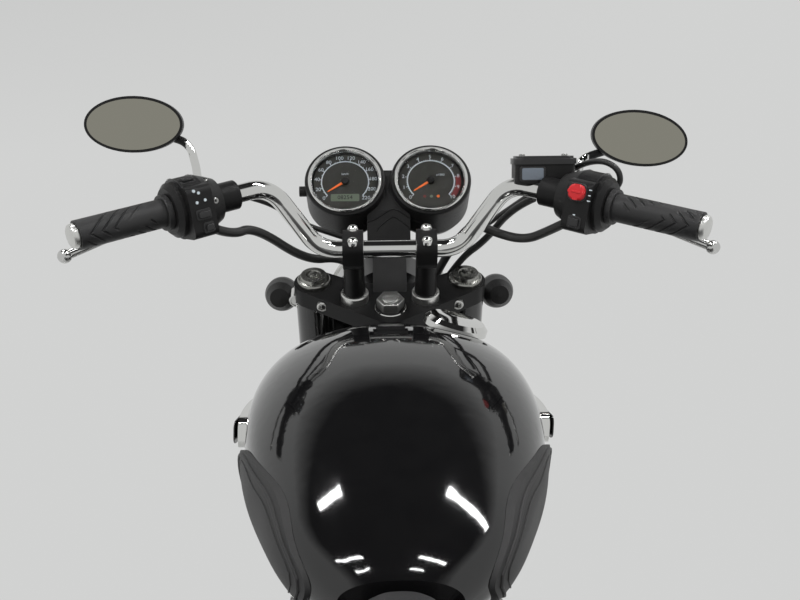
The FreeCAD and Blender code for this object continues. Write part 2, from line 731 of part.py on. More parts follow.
def centre_stand_lug(side):
    """A flat lug under the cradle's rear corner that carries the stand's pin."""
    x0 = side * UPRIGHT_X - CENTRE_LUG_T / 2
    outline = (
        V(x0, CENTRE_PIVOT_Y - 15, CENTRE_PIVOT_Z - 12),
        V(x0, CENTRE_PIVOT_Y + 10, CENTRE_PIVOT_Z - 18),
        V(x0, CENTRE_PIVOT_Y + 72, CRADLE_Z - 6), V(x0, CENTRE_PIVOT_Y + 30, CRADLE_Z + 60),
        V(x0, CENTRE_PIVOT_Y - 15, CENTRE_PIVOT_Z + 30),
    )
    return extruded_outline(outline, V(CENTRE_LUG_T, 0, 0))


def side_fold_frame():
    """The side stand's hinge axis, and the way that its leg points when folded."""
    splay = math.radians(SIDE_SPLAY_DEG)
    axis = V(math.cos(splay), 0, -math.sin(splay))
    back = V(0, -1, 0)
    rise = V(math.sin(splay), 0, math.cos(splay))
    fold = math.radians(SIDE_FOLD_UP_DEG)
    return axis, back * math.cos(fold) + rise * math.sin(fold)


def side_stand_bracket():
    """An arm on the left cradle tube with a boss inboard of the stand's eye, and its pin."""
    axis, _ = side_fold_frame()
    pivot = V(SIDE_PIVOT_X, SIDE_PIVOT_Y, SIDE_PIVOT_Z)
    inner_face = pivot + axis * (SIDE_LEG_R + 0.5)
    outer_face = pivot - axis * (SIDE_LEG_R + 0.5)
    boss = cylinder(inner_face, axis, 16, 8)
    pin = rod(inner_face, outer_face, STAND_PIN_R)
    head = cylinder(outer_face, axis * -1, STAND_PIN_R + 4, 4)
    arm = rod(V(-UPRIGHT_X - 10, SIDE_PIVOT_Y + 30, CRADLE_Z), inner_face + axis * 5, 9)
    behind = cylinder(inner_face, axis * -1, 40, 60)
    return fused([boss, pin, head, arm.cut(behind)])


def swingarm():
    parts = []
    for side in (-1, 1):
        parts.append(rod(V(side * SWINGARM_X, PIVOT_Y, PIVOT_Z), V(side * SWINGARM_X, -34, REAR_AXLE.z),
                         SWINGARM_R))
        parts.append(rod(V(side * (SWINGARM_X - SWINGARM_EYE_HALF_W), PIVOT_Y, PIVOT_Z),
                         V(side * (SWINGARM_X + SWINGARM_EYE_HALF_W), PIVOT_Y, PIVOT_Z), PIVOT_BOSS_R))
        parts.append(block(side * SWINGARM_X - 8, side * SWINGARM_X + 8, -38, 40, REAR_AXLE.z - 24,
                           REAR_AXLE.z + 24))
        foot = V(side * SWINGARM_X, SHOCK_FOOT_Y, SHOCK_FOOT_Z)
        parts.append(extruded_outline((
            foot + V(-5, -14, 14), foot + V(-5, 14, 14),
            V(side * SWINGARM_X - 5, SHOCK_FOOT_Y + 38, REAR_AXLE.z),
            V(side * SWINGARM_X - 5, SHOCK_FOOT_Y - 38, REAR_AXLE.z),
        ), V(10, 0, 0)))
        parts.append(rod(foot, V(side * (SHOCK_X + 14), SHOCK_FOOT_Y, SHOCK_FOOT_Z), SHOCK_ROD_R))
    brace_z = PIVOT_Z - (PIVOT_Z - REAR_AXLE.z) * (PIVOT_Y - SWINGARM_BRACE_Y) / PIVOT_Y
    parts.append(rod(V(-SWINGARM_X, SWINGARM_BRACE_Y, brace_z),
                     V(SWINGARM_X, SWINGARM_BRACE_Y, brace_z),
                     SWINGARM_BRACE_R))
    parts.append(rod(V(-SWINGARM_X - 28, PIVOT_Y, PIVOT_Z), V(SWINGARM_X + 28, PIVOT_Y, PIVOT_Z),
                     PIVOT_PIN_R))
    return fused(parts).cut(rod(V(-160, 0, REAR_AXLE.z), V(160, 0, REAR_AXLE.z), AXLE_R))


def rear_axle():
    """The spindle with its nuts and the spacers that hold the hub between the arms."""
    half = SWINGARM_X + 24
    parts = [rod(REAR_AXLE - V(half, 0, 0), REAR_AXLE + V(half, 0, 0), AXLE_R)]
    arm_out = SWINGARM_X + SWINGARM_R
    arm_in = SWINGARM_X - SWINGARM_R
    for side in (-1, 1):
        parts.append(hexagon(REAR_AXLE + V(side * arm_out, 0, 0), V(side, 0, 0), 16, 12))
        parts.append(rod(REAR_AXLE + V(side * (REAR_HUB_HALF_W + 1), 0, 0),
                         REAR_AXLE + V(side * arm_in, 0, 0),
                         AXLE_R + 5))
    return fused(parts)


def front_axle():
    half = FORK_HALF_SPACING + SLIDER_R + 8
    parts = [rod(FRONT_AXLE - V(half, 0, 0), FRONT_AXLE + V(half, 0, 0), AXLE_R)]
    for side in (-1, 1):
        parts.append(hexagon(FRONT_AXLE + V(side * (FORK_HALF_SPACING + SLIDER_R), 0, 0), V(side, 0, 0),
                             14, 9))
        parts.append(rod(FRONT_AXLE + V(side * (FRONT_HUB_HALF_W + 1), 0, 0),
                         FRONT_AXLE + V(side * (FORK_HALF_SPACING - SLIDER_R), 0, 0), AXLE_R + 5))
    return fused(parts)


def hexagon(start, direction, radius, height):
    """A six sided nut or cap standing on a point."""
    points = [V(radius * math.cos(math.pi * k / 3), radius * math.sin(math.pi * k / 3),
                0) for k in range(6)]
    body = extruded_outline(points, V(0, 0, height))
    body.Placement = Placement(start, Rotation(V(0, 0, 1), direction))
    return body


# Rear suspension
def shock_frame(side):
    foot = V(side * SHOCK_X, SHOCK_FOOT_Y, SHOCK_FOOT_Z)
    top = V(side * SHOCK_X, SHOCK_TOP_Y, SHOCK_TOP_Z)
    return foot, top, (top - foot).normalize()


def damper(side):
    """Eyes, body, rod and the two spring seats."""
    foot, top, along = shock_frame(side)
    length = (top - foot).Length
    parts = [
        rod(foot - V(9, 0, 0), foot + V(9, 0, 0), SHOCK_EYE_R),
        rod(top - V(9, 0, 0), top + V(9, 0, 0), SHOCK_EYE_R),
        cylinder(foot, along, SHOCK_BODY_R, length * 0.58),
        cylinder(foot, along, SHOCK_ROD_R, length),
        cylinder(foot + along * 26, along, SPRING_R + SPRING_WIRE_R + 1, 6),
        cylinder(foot + along * (length - 34), along, SPRING_R + SPRING_WIRE_R + 1, 8),
    ]
    body = fused(parts)
    for centre in (foot, top):
        body = body.cut(rod(centre - V(20, 0, 0), centre + V(20, 0, 0), SHOCK_ROD_R))
    return body


def spring(side):
    """A round wire coil between the damper's two seats."""
    foot, top, along = shock_frame(side)
    length = (top - foot).Length
    low = 32 + SPRING_WIRE_R + SEAT_GAP
    high = length - 34 - SPRING_WIRE_R - SEAT_GAP
    helix = Part.makeHelix((high - low) / SPRING_TURNS, high - low, SPRING_R)
    corners = []
    for index in range(6):
        angle = math.pi * index / 3
        corners.append(V(SPRING_R + SPRING_WIRE_R * math.cos(angle), 0,
                         SPRING_WIRE_R * math.sin(angle)))
    section = Part.makePolygon(corners + [corners[0]])
    coil = Part.Wire(helix.Edges).makePipeShell([section], True, True)
    coil.Placement = Placement(foot + along * low, Rotation(V(0, 0, 1), along))
    return coil


# Engine
def crankcase():
    """Crankcase and gearbox, with the sump below and the output sprocket on its shaft."""
    main = rounded_block(-CASE_HALF_W, CASE_HALF_W, ENGINE_REAR_Y, ENGINE_FRONT_Y, CASE_FLOOR_Z,
                         CASE_TOP_Z - 18, 26,
                         V(1, 0, 0))
    deck = block(-BARREL_HALF_W, BARREL_HALF_W, BARREL_REAR_Y - 10, BARREL_FRONT_Y + 10,
                 CASE_TOP_Z - 60, CASE_TOP_Z)
    gearbox = rounded_block(CHAIN_X + 20, CASE_HALF_W - 6, GEARBOX_REAR_Y, ENGINE_REAR_Y + 60,
                            CASE_FLOOR_Z + 14,
                            CASE_TOP_Z - 62, 24, V(1, 0, 0))
    sump = rounded_block(-SUMP_HALF_W, SUMP_HALF_W, ENGINE_REAR_Y - 20, ENGINE_FRONT_Y - 60, SUMP_Z,
                         CASE_FLOOR_Z + 40,
                         18, V(1, 0, 0))
    shaft = rod(V(CHAIN_X - 8, OUTPUT_Y, OUTPUT_Z), V(CHAIN_X + 40, OUTPUT_Y, OUTPUT_Z), OUTPUT_SHAFT_R)
    sprocket = toothed_disc(V(0, OUTPUT_Y, OUTPUT_Z), CHAIN_X, CHAIN_FRONT_R - ROLLER_R - 1.0,
                            FRONT_SPROCKET_TEETH)
    return fused([main, deck, gearbox, sump, shaft, sprocket])


def cooling_fins(y0, y1, half_w, z0, z1):
    fins = []
    z = z0 + FIN_PITCH * 0.6
    while z + FIN_T < z1 - 2:
        fins.append(rounded_block(-half_w - FIN_REACH, half_w + FIN_REACH, y0 - FIN_REACH,
                                  y1 + FIN_REACH, z, z + FIN_T,
                                  FIN_REACH, V(0, 0, 1)))
        z += FIN_PITCH
    return fins


def cylinder_block():
    core = block(-BARREL_HALF_W + FIN_REACH, BARREL_HALF_W - FIN_REACH, BARREL_REAR_Y + FIN_REACH,
                 BARREL_FRONT_Y - FIN_REACH, CASE_TOP_Z, BARREL_TOP_Z)
    fins = cooling_fins(BARREL_REAR_Y + FIN_REACH, BARREL_FRONT_Y - FIN_REACH,
                        BARREL_HALF_W - FIN_REACH,
                        CASE_TOP_Z, BARREL_TOP_Z)
    return fused([core] + fins)


def cylinder_head():
    core = block(-BARREL_HALF_W + FIN_REACH, BARREL_HALF_W - FIN_REACH, BARREL_REAR_Y + FIN_REACH,
                 BARREL_FRONT_Y - FIN_REACH, BARREL_TOP_Z, HEAD_TOP_Z)
    fins = cooling_fins(BARREL_REAR_Y + FIN_REACH, BARREL_FRONT_Y - FIN_REACH,
                        BARREL_HALF_W - FIN_REACH,
                        BARREL_TOP_Z, HEAD_TOP_Z - 8)
    body = fused([core] + fins)
    for side in (-1, 1):
        port = V(side * HEADER_PORT_X, BARREL_FRONT_Y - FIN_REACH, HEADER_PORT_Z)
        body = body.cut(cylinder(port, V(0, 1, 0), HEADER_R + 2, 2 * FIN_REACH))
        inlet = V(side * INTAKE_X, BARREL_REAR_Y - FIN_REACH, INTAKE_Z)
        body = body.cut(cylinder(inlet, V(0, 1, 0), INTAKE_R + 2, 2 * FIN_REACH))
    return body


def cam_cover():
    """Two rounded cam boxes joined by a flat middle."""
    boxes = []
    for y in (BARREL_REAR_Y + 38, BARREL_FRONT_Y - 38):
        boxes.append(rod(V(-BARREL_HALF_W + 8, y, HEAD_TOP_Z + 26),
                         V(BARREL_HALF_W - 8, y, HEAD_TOP_Z + 26), 30))
    middle = block(-BARREL_HALF_W + 8, BARREL_HALF_W - 8, BARREL_REAR_Y + 12, BARREL_FRONT_Y - 12,
                   HEAD_TOP_Z,
                   HEAD_TOP_Z + 30)
    body = fused(boxes + [middle])
    keep = block(-200, 200, 700, 1100, HEAD_TOP_Z, CAM_TOP_Z + 20)
    return body.common(keep)


def engine_covers():
    """Clutch and crank covers on the right, alternator and sprocket covers on the left."""
    def dome(side, y, z, radius, depth):
        return turned(((0, 0), (radius, 0), (radius, depth * 0.55), (radius * 0.86, depth * 0.86),
                       (radius * 0.6, depth),
                       (0, depth)), V(side * CASE_HALF_W, y, z), V(side, 0, 0))
    right = fused([dome(1, *CLUTCH_COVER), dome(1, *TIMING_COVER)])
    left_front = dome(-1, *ALTERNATOR_COVER)
    inner_x = CHAIN_X - CHAIN_HALF_W - SPROCKET_COVER_GAP
    left_rear = rounded_block(inner_x - SPROCKET_COVER_T, inner_x, *SPROCKET_COVER_Y, *SPROCKET_COVER_Z,
                              SPROCKET_COVER_CORNER_R, V(1, 0, 0))
    case = block(-CASE_HALF_W, 0, ENGINE_REAR_Y, ENGINE_FRONT_Y, SUMP_Z, CASE_TOP_Z)
    left_rear = left_rear.cut(case).cut(left_front)
    return [right, left_front, left_rear]


def intakes():
    """Two throttle bodies from the head back to the air box."""
    pipes = []
    start_y = BARREL_REAR_Y + FIN_REACH - INTAKE_LEN
    for side in (-1, 1):
        pipes.append(turned(((0, 0), (INTAKE_R, 0), (INTAKE_R, 30), (INTAKE_R + 8, 34),
                             (INTAKE_R + 8, 92),
                             (INTAKE_R - 3, 98), (INTAKE_R - 3, INTAKE_LEN), (0, INTAKE_LEN)),
                            V(side * INTAKE_X, start_y, INTAKE_Z), V(0, 1, 0)))
    box = rounded_block(-80, 80, 566, start_y, 560, 716, 18, V(0, 1, 0))
    return fused([box] + pipes)


def exhaust(side):
    """A header from the port, down and back under the engine, into a hollow tipped silencer."""
    header = tube([
        V(side * HEADER_PORT_X, BARREL_FRONT_Y - FIN_REACH, HEADER_PORT_Z),
        V(side * HEADER_PORT_X, 1058, HEADER_PORT_Z),
        V(side * 114, 1104, 520),
        V(side * 128, 1088, 330),
        V(side * 136, 1010, 264),
        V(side * 154, 700, 264),
        V(side * SILENCER_X, SILENCER_FRONT_Y + 10, SILENCER_FRONT_Z),
    ], HEADER_R, 70)
    front = V(side * SILENCER_X, SILENCER_FRONT_Y, SILENCER_FRONT_Z)
    rear = V(side * SILENCER_X, SILENCER_REAR_Y, SILENCER_REAR_Z)
    length = (rear - front).Length
    silencer = turned((
        (0, -30), (HEADER_R + 3, -30), (HEADER_R + 3, 0), (SILENCER_R, 95), (SILENCER_R, length - 150),
        (SILENCER_TIP_R, length), (TAILPIPE_BORE_R, length),
        (TAILPIPE_BORE_R, length - TAILPIPE_BORE_DEPTH),
        (0, length - TAILPIPE_BORE_DEPTH),
    ), front, rear - front)
    return fused([header, silencer])


# Tank, seat and panels
def tank_body(grow=0.0):
    return lofted(TANK_STATIONS, grow)


def tank():
    """The shell with the tunnel for the frame's spine underneath."""
    spine_start = steer_point(0, 0, TOP_YOKE_S - HEAD_TUBE_GAP - 45)
    spine_end = V(0, SPINE_END_Y, SPINE_END_Z)
    slope = (spine_start.z - spine_end.z) / (spine_start.y - spine_end.y)
    half = TUNNEL_HALF_W
    far = spine_start.y + 100
    roof = rod(spine_end - V(0, 100, 100 * slope), V(0, far, spine_end.z + slope * (far - spine_end.y)),
               half)
    slot = extruded_outline((
        V(-half, SPINE_END_Y - 100, 600), V(-half, far, 600),
        V(-half, far, spine_end.z + slope * (far - spine_end.y)),
        V(-half, SPINE_END_Y - 100, spine_end.z - 100 * slope),
    ), V(2 * half, 0, 0))
    head_room = steered(cylinder(V(0, 0, 500), V(0, 0, 1), HEAD_TUBE_R + 8, 300))
    return tank_body().cut(fused([roof, slot])).cut(head_room)


def pad_prism(side):
    """The knee pad's outline seen from the side, pulled through one flank of the tank."""
    curve = Part.BSplineCurve()
    curve.interpolate([
        V(0, 838, 852), V(0, 812, 876), V(0, 752, 884), V(0, 692, 876), V(0, 640, 848), V(0, 620, 822),
        V(0, 640, 800), V(0, 720, 796), V(0, 800, 804), V(0, 834, 824),
    ], PeriodicFlag=True)
    face = Part.Face(Part.Wire([curve.toShape()]))
    return face.extrude(V(side * 220, 0, 0))


def knee_pads():
    outer = tank_body(PAD_PROUD)
    inner = tank_body(SEAT_GAP)
    return [outer.common(pad_prism(side)).cut(inner) for side in (-1, 1)]


def tank_badges():
    outer = tank_body(BADGE_PROUD)
    inner = tank_body(SEAT_GAP)
    badges = []
    for side in (-1, 1):
        low_x, high_x = sorted((side * 60, side * 220))
        prism = rounded_block(low_x, high_x, BADGE_Y - BADGE_LEN / 2, BADGE_Y + BADGE_LEN / 2,
                              BADGE_Z - BADGE_H / 2,
                              BADGE_Z + BADGE_H / 2, 12, V(1, 0, 0))
        badges.append(outer.common(prism).cut(inner))
    return badges


def filler_cap():
    """A low chrome cap seated on the tank's right shoulder."""
    cap = turned(((0, -14), (FILLER_R - 7, -14), (FILLER_R - 7, 0), (FILLER_R, 1),
                  (FILLER_R, FILLER_H - 5),
                  (FILLER_R - 5, FILLER_H), (0, FILLER_H + 2)), V(0, 0, 0), V(0, 0, 1))
    cap.rotate(V(0, 0, 0), V(0, 1, 0), FILLER_LEAN_DEG)
    cap.rotate(V(0, 0, 0), V(1, 0, 0), FILLER_PITCH_DEG)
    cap.translate(V(FILLER_X, FILLER_Y, FILLER_SEAT_Z))
    return cap.cut(tank_body(SEAT_GAP))


def tank_top_at(x, y):
    """Height of the tank's top surface at a place in plan."""
    for before, after in zip(TANK_STATIONS, TANK_STATIONS[1:]):
        if before[0] <= y <= after[0]:
            share = (y - before[0]) / (after[0] - before[0])
            half_w, _, widest, top = [a + (b - a) * share for a, b in zip(before[1:], after[1:])]
            inside = 1 - (abs(x) / half_w) ** TANK_UPPER_POWER
            return widest + (top - widest) * inside ** (1 / TANK_UPPER_POWER)
    raise ValueError("outside the tank")


FILLER_SEAT_Z = tank_top_at(FILLER_X, FILLER_Y) + 3.0


def seat():
    stations = []
    for y, half_w, bottom, widest, top in SEAT_STATIONS:
        stations.append((y, half_w, SEAT_RAIL_Z + bottom, SEAT_RAIL_Z + widest, SEAT_RAIL_Z + top))
    return lofted(stations)


def side_panels():
    panels = []
    for side in (-1, 1):
        x0 = side * (PANEL_X + PANEL_T / 2) - PANEL_T / 2
        outline = extruded_outline([V(x0, y, SEAT_RAIL_Z - drop) for y, drop in PANEL_CORNERS],
                                   V(PANEL_T, 0, 0))
        edges = [edge for edge in outline.Edges if abs(edge.tangentAt(0).x) > 0.99]
        panels.append(outline.makeFillet(PANEL_CORNER_R, edges))
    return panels


# Mudguards, lamps and plate bracket
def guard_shell(axle, inner_r, half_w, start_deg, end_deg):
    """A curved blade over a tyre, its angles measured from the front over the top."""
    crown = Part.Arc(V(inner_r - GUARD_CROWN, 0, -half_w), V(inner_r, 0, 0),
                     V(inner_r - GUARD_CROWN, 0, half_w)).toShape()
    over = Part.Arc(V(inner_r - GUARD_CROWN + GUARD_T, 0, half_w + GUARD_T * 0.6),
                    V(inner_r + GUARD_T, 0, 0),
                    V(inner_r - GUARD_CROWN + GUARD_T, 0, -half_w - GUARD_T * 0.6)).toShape()
    edges = [
        crown,
        Part.LineSegment(V(inner_r - GUARD_CROWN, 0, half_w),
                         V(inner_r - GUARD_CROWN + GUARD_T, 0, half_w + GUARD_T * 0.6)).toShape(),
        over,
        Part.LineSegment(V(inner_r - GUARD_CROWN + GUARD_T, 0, -half_w - GUARD_T * 0.6),
                         V(inner_r - GUARD_CROWN, 0, -half_w)).toShape(),
    ]
    face = Part.Face(Part.Wire(edges))
    blade = face.revolve(V(0, 0, 0), V(0, 0, 1), end_deg - start_deg)
    # the profile starts with its radius along X and its width along Z
    turn = Rotation(V(0, 1, 0), V(0, 0, 1), V(1, 0, 0), "ZXY")
    blade.Placement = Placement(axle, turn)
    blade.rotate(axle, V(1, 0, 0), start_deg)
    return blade


def front_mudguard():
    inner_r = FRONT_TYRE_R + FRONT_GUARD_GAP
    blade = guard_shell(FRONT_AXLE, inner_r, FRONT_GUARD_HALF_W, FRONT_GUARD_START_DEG,
                        FRONT_GUARD_END_DEG)
    parts = [blade]
    for side in (-1, 1):
        edge_x = side * (FRONT_GUARD_HALF_W + 1.5)
        lug = steer_point(side * (FORK_HALF_SPACING - SLIDER_R - 2), AXLE_OFFSET, 250)
        for angle in (100, 128):
            top = FRONT_AXLE + V(edge_x, math.cos(math.radians(angle)) * (inner_r - GUARD_CROWN),
                                 math.sin(math.radians(angle)) * (inner_r - GUARD_CROWN))
            parts.append(tube([top, V(side * 66, top.y * 0.5 + lug.y * 0.5, top.z * 0.5 + lug.z * 0.5),
                               lug], 4, 30))
    body = fused(parts)
    return body.cut(fused(fork_sliders()))


def rear_mudguard():
    """The rear blade, hung from the seat loop by two straps."""
    inner_r = REAR_TYRE_R + REAR_GUARD_GAP
    blade = guard_shell(REAR_AXLE, inner_r, REAR_GUARD_HALF_W, REAR_GUARD_START_DEG, REAR_GUARD_END_DEG)
    straps = []
    for y in (250.0, SEAT_RAIL_REAR_Y):
        crown_z = REAR_AXLE.z + math.sqrt(inner_r ** 2 - y ** 2)
        straps.append(block(-14, 14, y - 8, y + 8, crown_z, SEAT_RAIL_Z - RAIL_R))
    return fused([blade] + straps)


def lamp_bullet(centre, direction, radius, length):
    """A bullet shaped lamp body, its lens at the open end of its axis."""
    return turned(((0, 0), (radius * 0.55, 2), (radius * 0.85, length * 0.3), (radius, length * 0.6),
                   (radius, length * 0.8), (radius * 0.72, length * 0.96), (0, length)),
                  centre - direction * (length * 0.5), direction)


def front_indicators():
    lamps = []
    for side in (-1, 1):
        centre = FRONT_IND_AT + V(side * FRONT_IND_X, 0, 0)
        bullet = lamp_bullet(centre, V(0, 1, 0), IND_R, IND_LEN)
        ear = steer_point(side * (FORK_HALF_SPACING + SHROUD_R - 6), AXLE_OFFSET, 688)
        stem = rod(FRONT_IND_AT + V(ear.x, 0, 0), centre, IND_STEM_R)
        lamps.append(fused([bullet, stem]))
    return lamps


def rear_lamps():
    """Tail lamp and two indicators on a post from the mudguard, the bare plate holder below."""
    lamp = turned(((0, 0), (TAIL_LAMP_R, 0), (TAIL_LAMP_R, LAMP_LEN * 0.7),
                   (TAIL_LAMP_R * 0.8, LAMP_LEN),
                   (0, LAMP_LEN)), V(0, REAR_END_Y + LAMP_LEN, TAIL_LAMP_Z), V(0, -1, 0))
    arm = block(-24, 24, REAR_END_Y + LAMP_LEN, REAR_IND_Y + 30, TAIL_LAMP_Z - 20, TAIL_LAMP_Z + 4)
    post = block(-20, 20, REAR_IND_Y - 10, REAR_IND_Y + 30, REAR_AXLE.z + 180, TAIL_LAMP_Z)
    inside = cylinder(REAR_AXLE - V(200, 0, 0), V(1, 0, 0), REAR_TYRE_R + REAR_GUARD_GAP + GUARD_T, 400)
    bar = rod(V(-REAR_IND_X, REAR_IND_Y, REAR_IND_Z), V(REAR_IND_X, REAR_IND_Y, REAR_IND_Z), IND_STEM_R)
    parts = [lamp, arm, post.cut(inside), bar]
    for side in (-1, 1):
        parts.append(lamp_bullet(V(side * REAR_IND_X, REAR_IND_Y, REAR_IND_Z), V(0, -1, 0), IND_R,
                                 IND_LEN))
    plate = block(-90, 90, REAR_END_Y + 26, REAR_END_Y + 30, TAIL_LAMP_Z - 196, TAIL_LAMP_Z - 58)
    stay = block(-16, 16, REAR_END_Y + 30, REAR_END_Y + 60, TAIL_LAMP_Z - 100, TAIL_LAMP_Z - 20)
    return fused(parts + [plate, stay])


# Final drive
def chain():
    """One fixed loop of links round both sprockets."""
    rear = V(CHAIN_X, 0, REAR_AXLE.z)
    front = V(CHAIN_X, OUTPUT_Y, OUTPUT_Z)
    outer = loop_face(rear, front, CHAIN_REAR_R + CHAIN_PLATE_H / 2, CHAIN_FRONT_R + CHAIN_PLATE_H / 2)
    inner = loop_face(rear, front, CHAIN_REAR_R - CHAIN_PLATE_H / 2, CHAIN_FRONT_R - CHAIN_PLATE_H / 2)
    side_plate = outer.cut(inner).extrude(V(CHAIN_PLATE_T, 0, 0))
    left = side_plate.translated(V(-CHAIN_HALF_W, 0, 0))
    right = side_plate.translated(V(CHAIN_HALF_W - CHAIN_PLATE_T, 0, 0))
    roller_out = loop_face(rear, front, CHAIN_REAR_R + ROLLER_R, CHAIN_FRONT_R + ROLLER_R)
    roller_in = loop_face(rear, front, CHAIN_REAR_R - ROLLER_R, CHAIN_FRONT_R - ROLLER_R)
    core = roller_out.cut(roller_in).extrude(V(2 * CHAIN_HALF_W, 0, 0)).translated(V(-CHAIN_HALF_W, 0,
                                                                                     0))
    return fused([left, right, core])


def loop_face(rear, front, rear_r, front_r):
    """The flat area inside a belt that wraps two pulleys."""
    apart = (front - rear).Length
    along = (front - rear).normalize()
    lift = V(0, -along.z, along.y)
    lean = math.asin((rear_r - front_r) / apart)
    touches = []
    for sign in (1, -1):
        touch = along * math.sin(lean) + lift * (sign * math.cos(lean))
        touches.append((rear + touch * rear_r, front + touch * front_r))
    edges = [
        Part.LineSegment(touches[0][0], touches[0][1]).toShape(),
        Part.Arc(touches[0][1], front + along * front_r, touches[1][1]).toShape(),
        Part.LineSegment(touches[1][1], touches[1][0]).toShape(),
        Part.Arc(touches[1][0], rear - along * rear_r, touches[0][0]).toShape(),
    ]
    return Part.Face(Part.Wire(edges))


def chain_guard():
    """A channel over the chain's top run, carried by the left arm."""
    def line_z(y):
        climb = OUTPUT_Z + CHAIN_FRONT_R - REAR_AXLE.z - CHAIN_REAR_R
        return REAR_AXLE.z + CHAIN_REAR_R + CHAIN_GUARD_GAP + climb * y / OUTPUT_Y
    x0 = CHAIN_X - CHAIN_HALF_W - CHAIN_GUARD_SIDE
    x1 = CHAIN_X + CHAIN_HALF_W + CHAIN_GUARD_SIDE
    front = V(x0, CHAIN_GUARD_FRONT_Y, line_z(CHAIN_GUARD_FRONT_Y))
    bend = V(x0, CHAIN_GUARD_BEND_Y, line_z(0))
    rear = V(x0, CHAIN_GUARD_REAR_Y, line_z(0) - CHAIN_GUARD_DROOP)
    over = V(0, 0, GUARD_T)
    top = extruded_outline((rear, bend, front, front + over, bend + over, rear + over),
                           V(x1 - x0, 0, 0))
    low_rear = rear - V(0, 0, CHAIN_GUARD_LIP - GUARD_T)
    low_front = front - V(0, 0, CHAIN_GUARD_LIP)
    inner = V(0, 0, GUARD_T * 0.8)
    lip = extruded_outline((low_rear, low_front, front + inner, bend + inner, rear + inner),
                           V(GUARD_T, 0, 0))
    tabs = []
    for y in (100.0, 380.0):
        arm_z = REAR_AXLE.z + (PIVOT_Z - REAR_AXLE.z) * y / PIVOT_Y
        tabs.append(block(x0 - GUARD_T, x0, y - 10, y + 10, arm_z + SWINGARM_R * 0.5, line_z(y) - 6))
    return fused([top, lip] + tabs).cut(swingarm())


# Foot controls
def footrests(frame):
    """Rider and pillion pegs on their brackets."""
    rests = []
    for side in (-1, 1):
        inner = V(side * PEG_INNER_X, RIDER_PEG_Y, RIDER_PEG_Z)
        peg = turned(((0, 0), (PEG_R, 0), (PEG_R, PEG_LEN - PEG_END_LEN),
                      (PEG_END_R, PEG_LEN - PEG_END_LEN),
                      (PEG_END_R, PEG_LEN), (0, PEG_LEN)), inner, V(side, 0, 0))
        arm = rod(V(side * UPRIGHT_X, RIDER_PEG_Y - 14, RIDER_PEG_Z), inner + V(side * 2, 0, 0),
                  BRACKET_R)
        rests.append(fused([peg, arm]).cut(frame))
        rear_peg_ends = [V(side * x, PILLION_PEG_Y, PILLION_PEG_Z) for x in PILLION_PEG_X]
        rear_peg = rod(*rear_peg_ends, PEG_R)
        hanger = [V(side * x, y, z) for x, y,
                  z in HANGER_CORNERS] + [rear_peg_ends[0] + V(side * 4, 0, 0)]
        hanger = tube(hanger, BRACKET_R, 30)
        rests.append(fused([rear_peg, hanger]).cut(frame))
    return rests


def foot_controls():
    """Rear brake pedal on the right, gear lever on the left."""
    controls = []
    for side in (-1, 1):
        pivot = V(side * PEDAL_X, RIDER_PEG_Y + PEDAL_PIVOT_AHEAD, RIDER_PEG_Z - PEDAL_PIVOT_DROP)
        bend = V(side * PEDAL_X, RIDER_PEG_Y + PEDAL_BEND_AHEAD, RIDER_PEG_Z - PEDAL_BEND_DROP)
        end = V(side * PEDAL_X, PEDAL_TOE_Y, RIDER_PEG_Z - PEDAL_TOE_DROP)
        lever = tube([pivot, bend, end], PEDAL_R, 40)
        toe = rod(end - V(side * 4, 0, 0), end + V(side * PEDAL_TOE_OUT, 0, 0), PEDAL_R + 2)
        boss = rod(pivot - V(side * 12, 0, 0), pivot + V(side * 8, 0, 0), PEDAL_BOSS_R)
        controls.append(fused([lever, toe, boss]))
    return controls


def rear_caliper():
    """A small caliper over the rear of the right disc, on its torque bracket."""
    gap_half_w = DISC_THICK / 2 + CALIPER_GAP
    body = rounded_block(REAR_DISC_X - CALIPER_HALF_W, REAR_DISC_X + CALIPER_HALF_W - 2,
                         -REAR_CALIPER_HALF_LEN, REAR_CALIPER_HALF_LEN,
                         REAR_AXLE.z + REAR_CALIPER_LOW, REAR_AXLE.z + REAR_CALIPER_HIGH, 10,
                         V(1, 0, 0))
    slot = block(REAR_DISC_X - gap_half_w, REAR_DISC_X + gap_half_w, -60, 60, REAR_AXLE.z + 60,
                 REAR_AXLE.z + REAR_DISC_R + 6)
    arm = block(REAR_DISC_X + 12, REAR_DISC_X + 18, -16, 16, REAR_AXLE.z - 20, REAR_AXLE.z + 90)
    bore = rod(REAR_AXLE, REAR_AXLE + V(160, 0, 0), AXLE_R + 5)
    return fused([body.cut(slot), arm]).cut(bore).cut(swingarm())


# Fork and yokes
def yoke(s, thickness, front_reach):
    """A plate between the two legs and the stem, bored for the legs."""
    legs = [V(-FORK_HALF_SPACING, AXLE_OFFSET, s), V(0, 0, s), V(FORK_HALF_SPACING, AXLE_OFFSET, s)]
    plate = hulled_bosses(legs, [YOKE_BOSS_R, STEM_BOSS_R, YOKE_BOSS_R], thickness)
    bridge = block(-FORK_HALF_SPACING, FORK_HALF_SPACING, AXLE_OFFSET - YOKE_WAIST_R,
                   AXLE_OFFSET + front_reach, s,
                   s + thickness)
    body = fused([plate, bridge])
    for side in (-1, 1):
        body = body.cut(cylinder(V(side * FORK_HALF_SPACING, AXLE_OFFSET, s - 1), V(0, 0, 1),
                                 FORK_TUBE_R, thickness + 2))
    return body


def top_yoke():
    plate = yoke(TOP_YOKE_S, TOP_YOKE_T, -4)
    plate = plate.cut(cylinder(V(0, 0, TOP_YOKE_S - 1), V(0, 0, 1), STEM_R, TOP_YOKE_T + 2))
    return steered(plate)


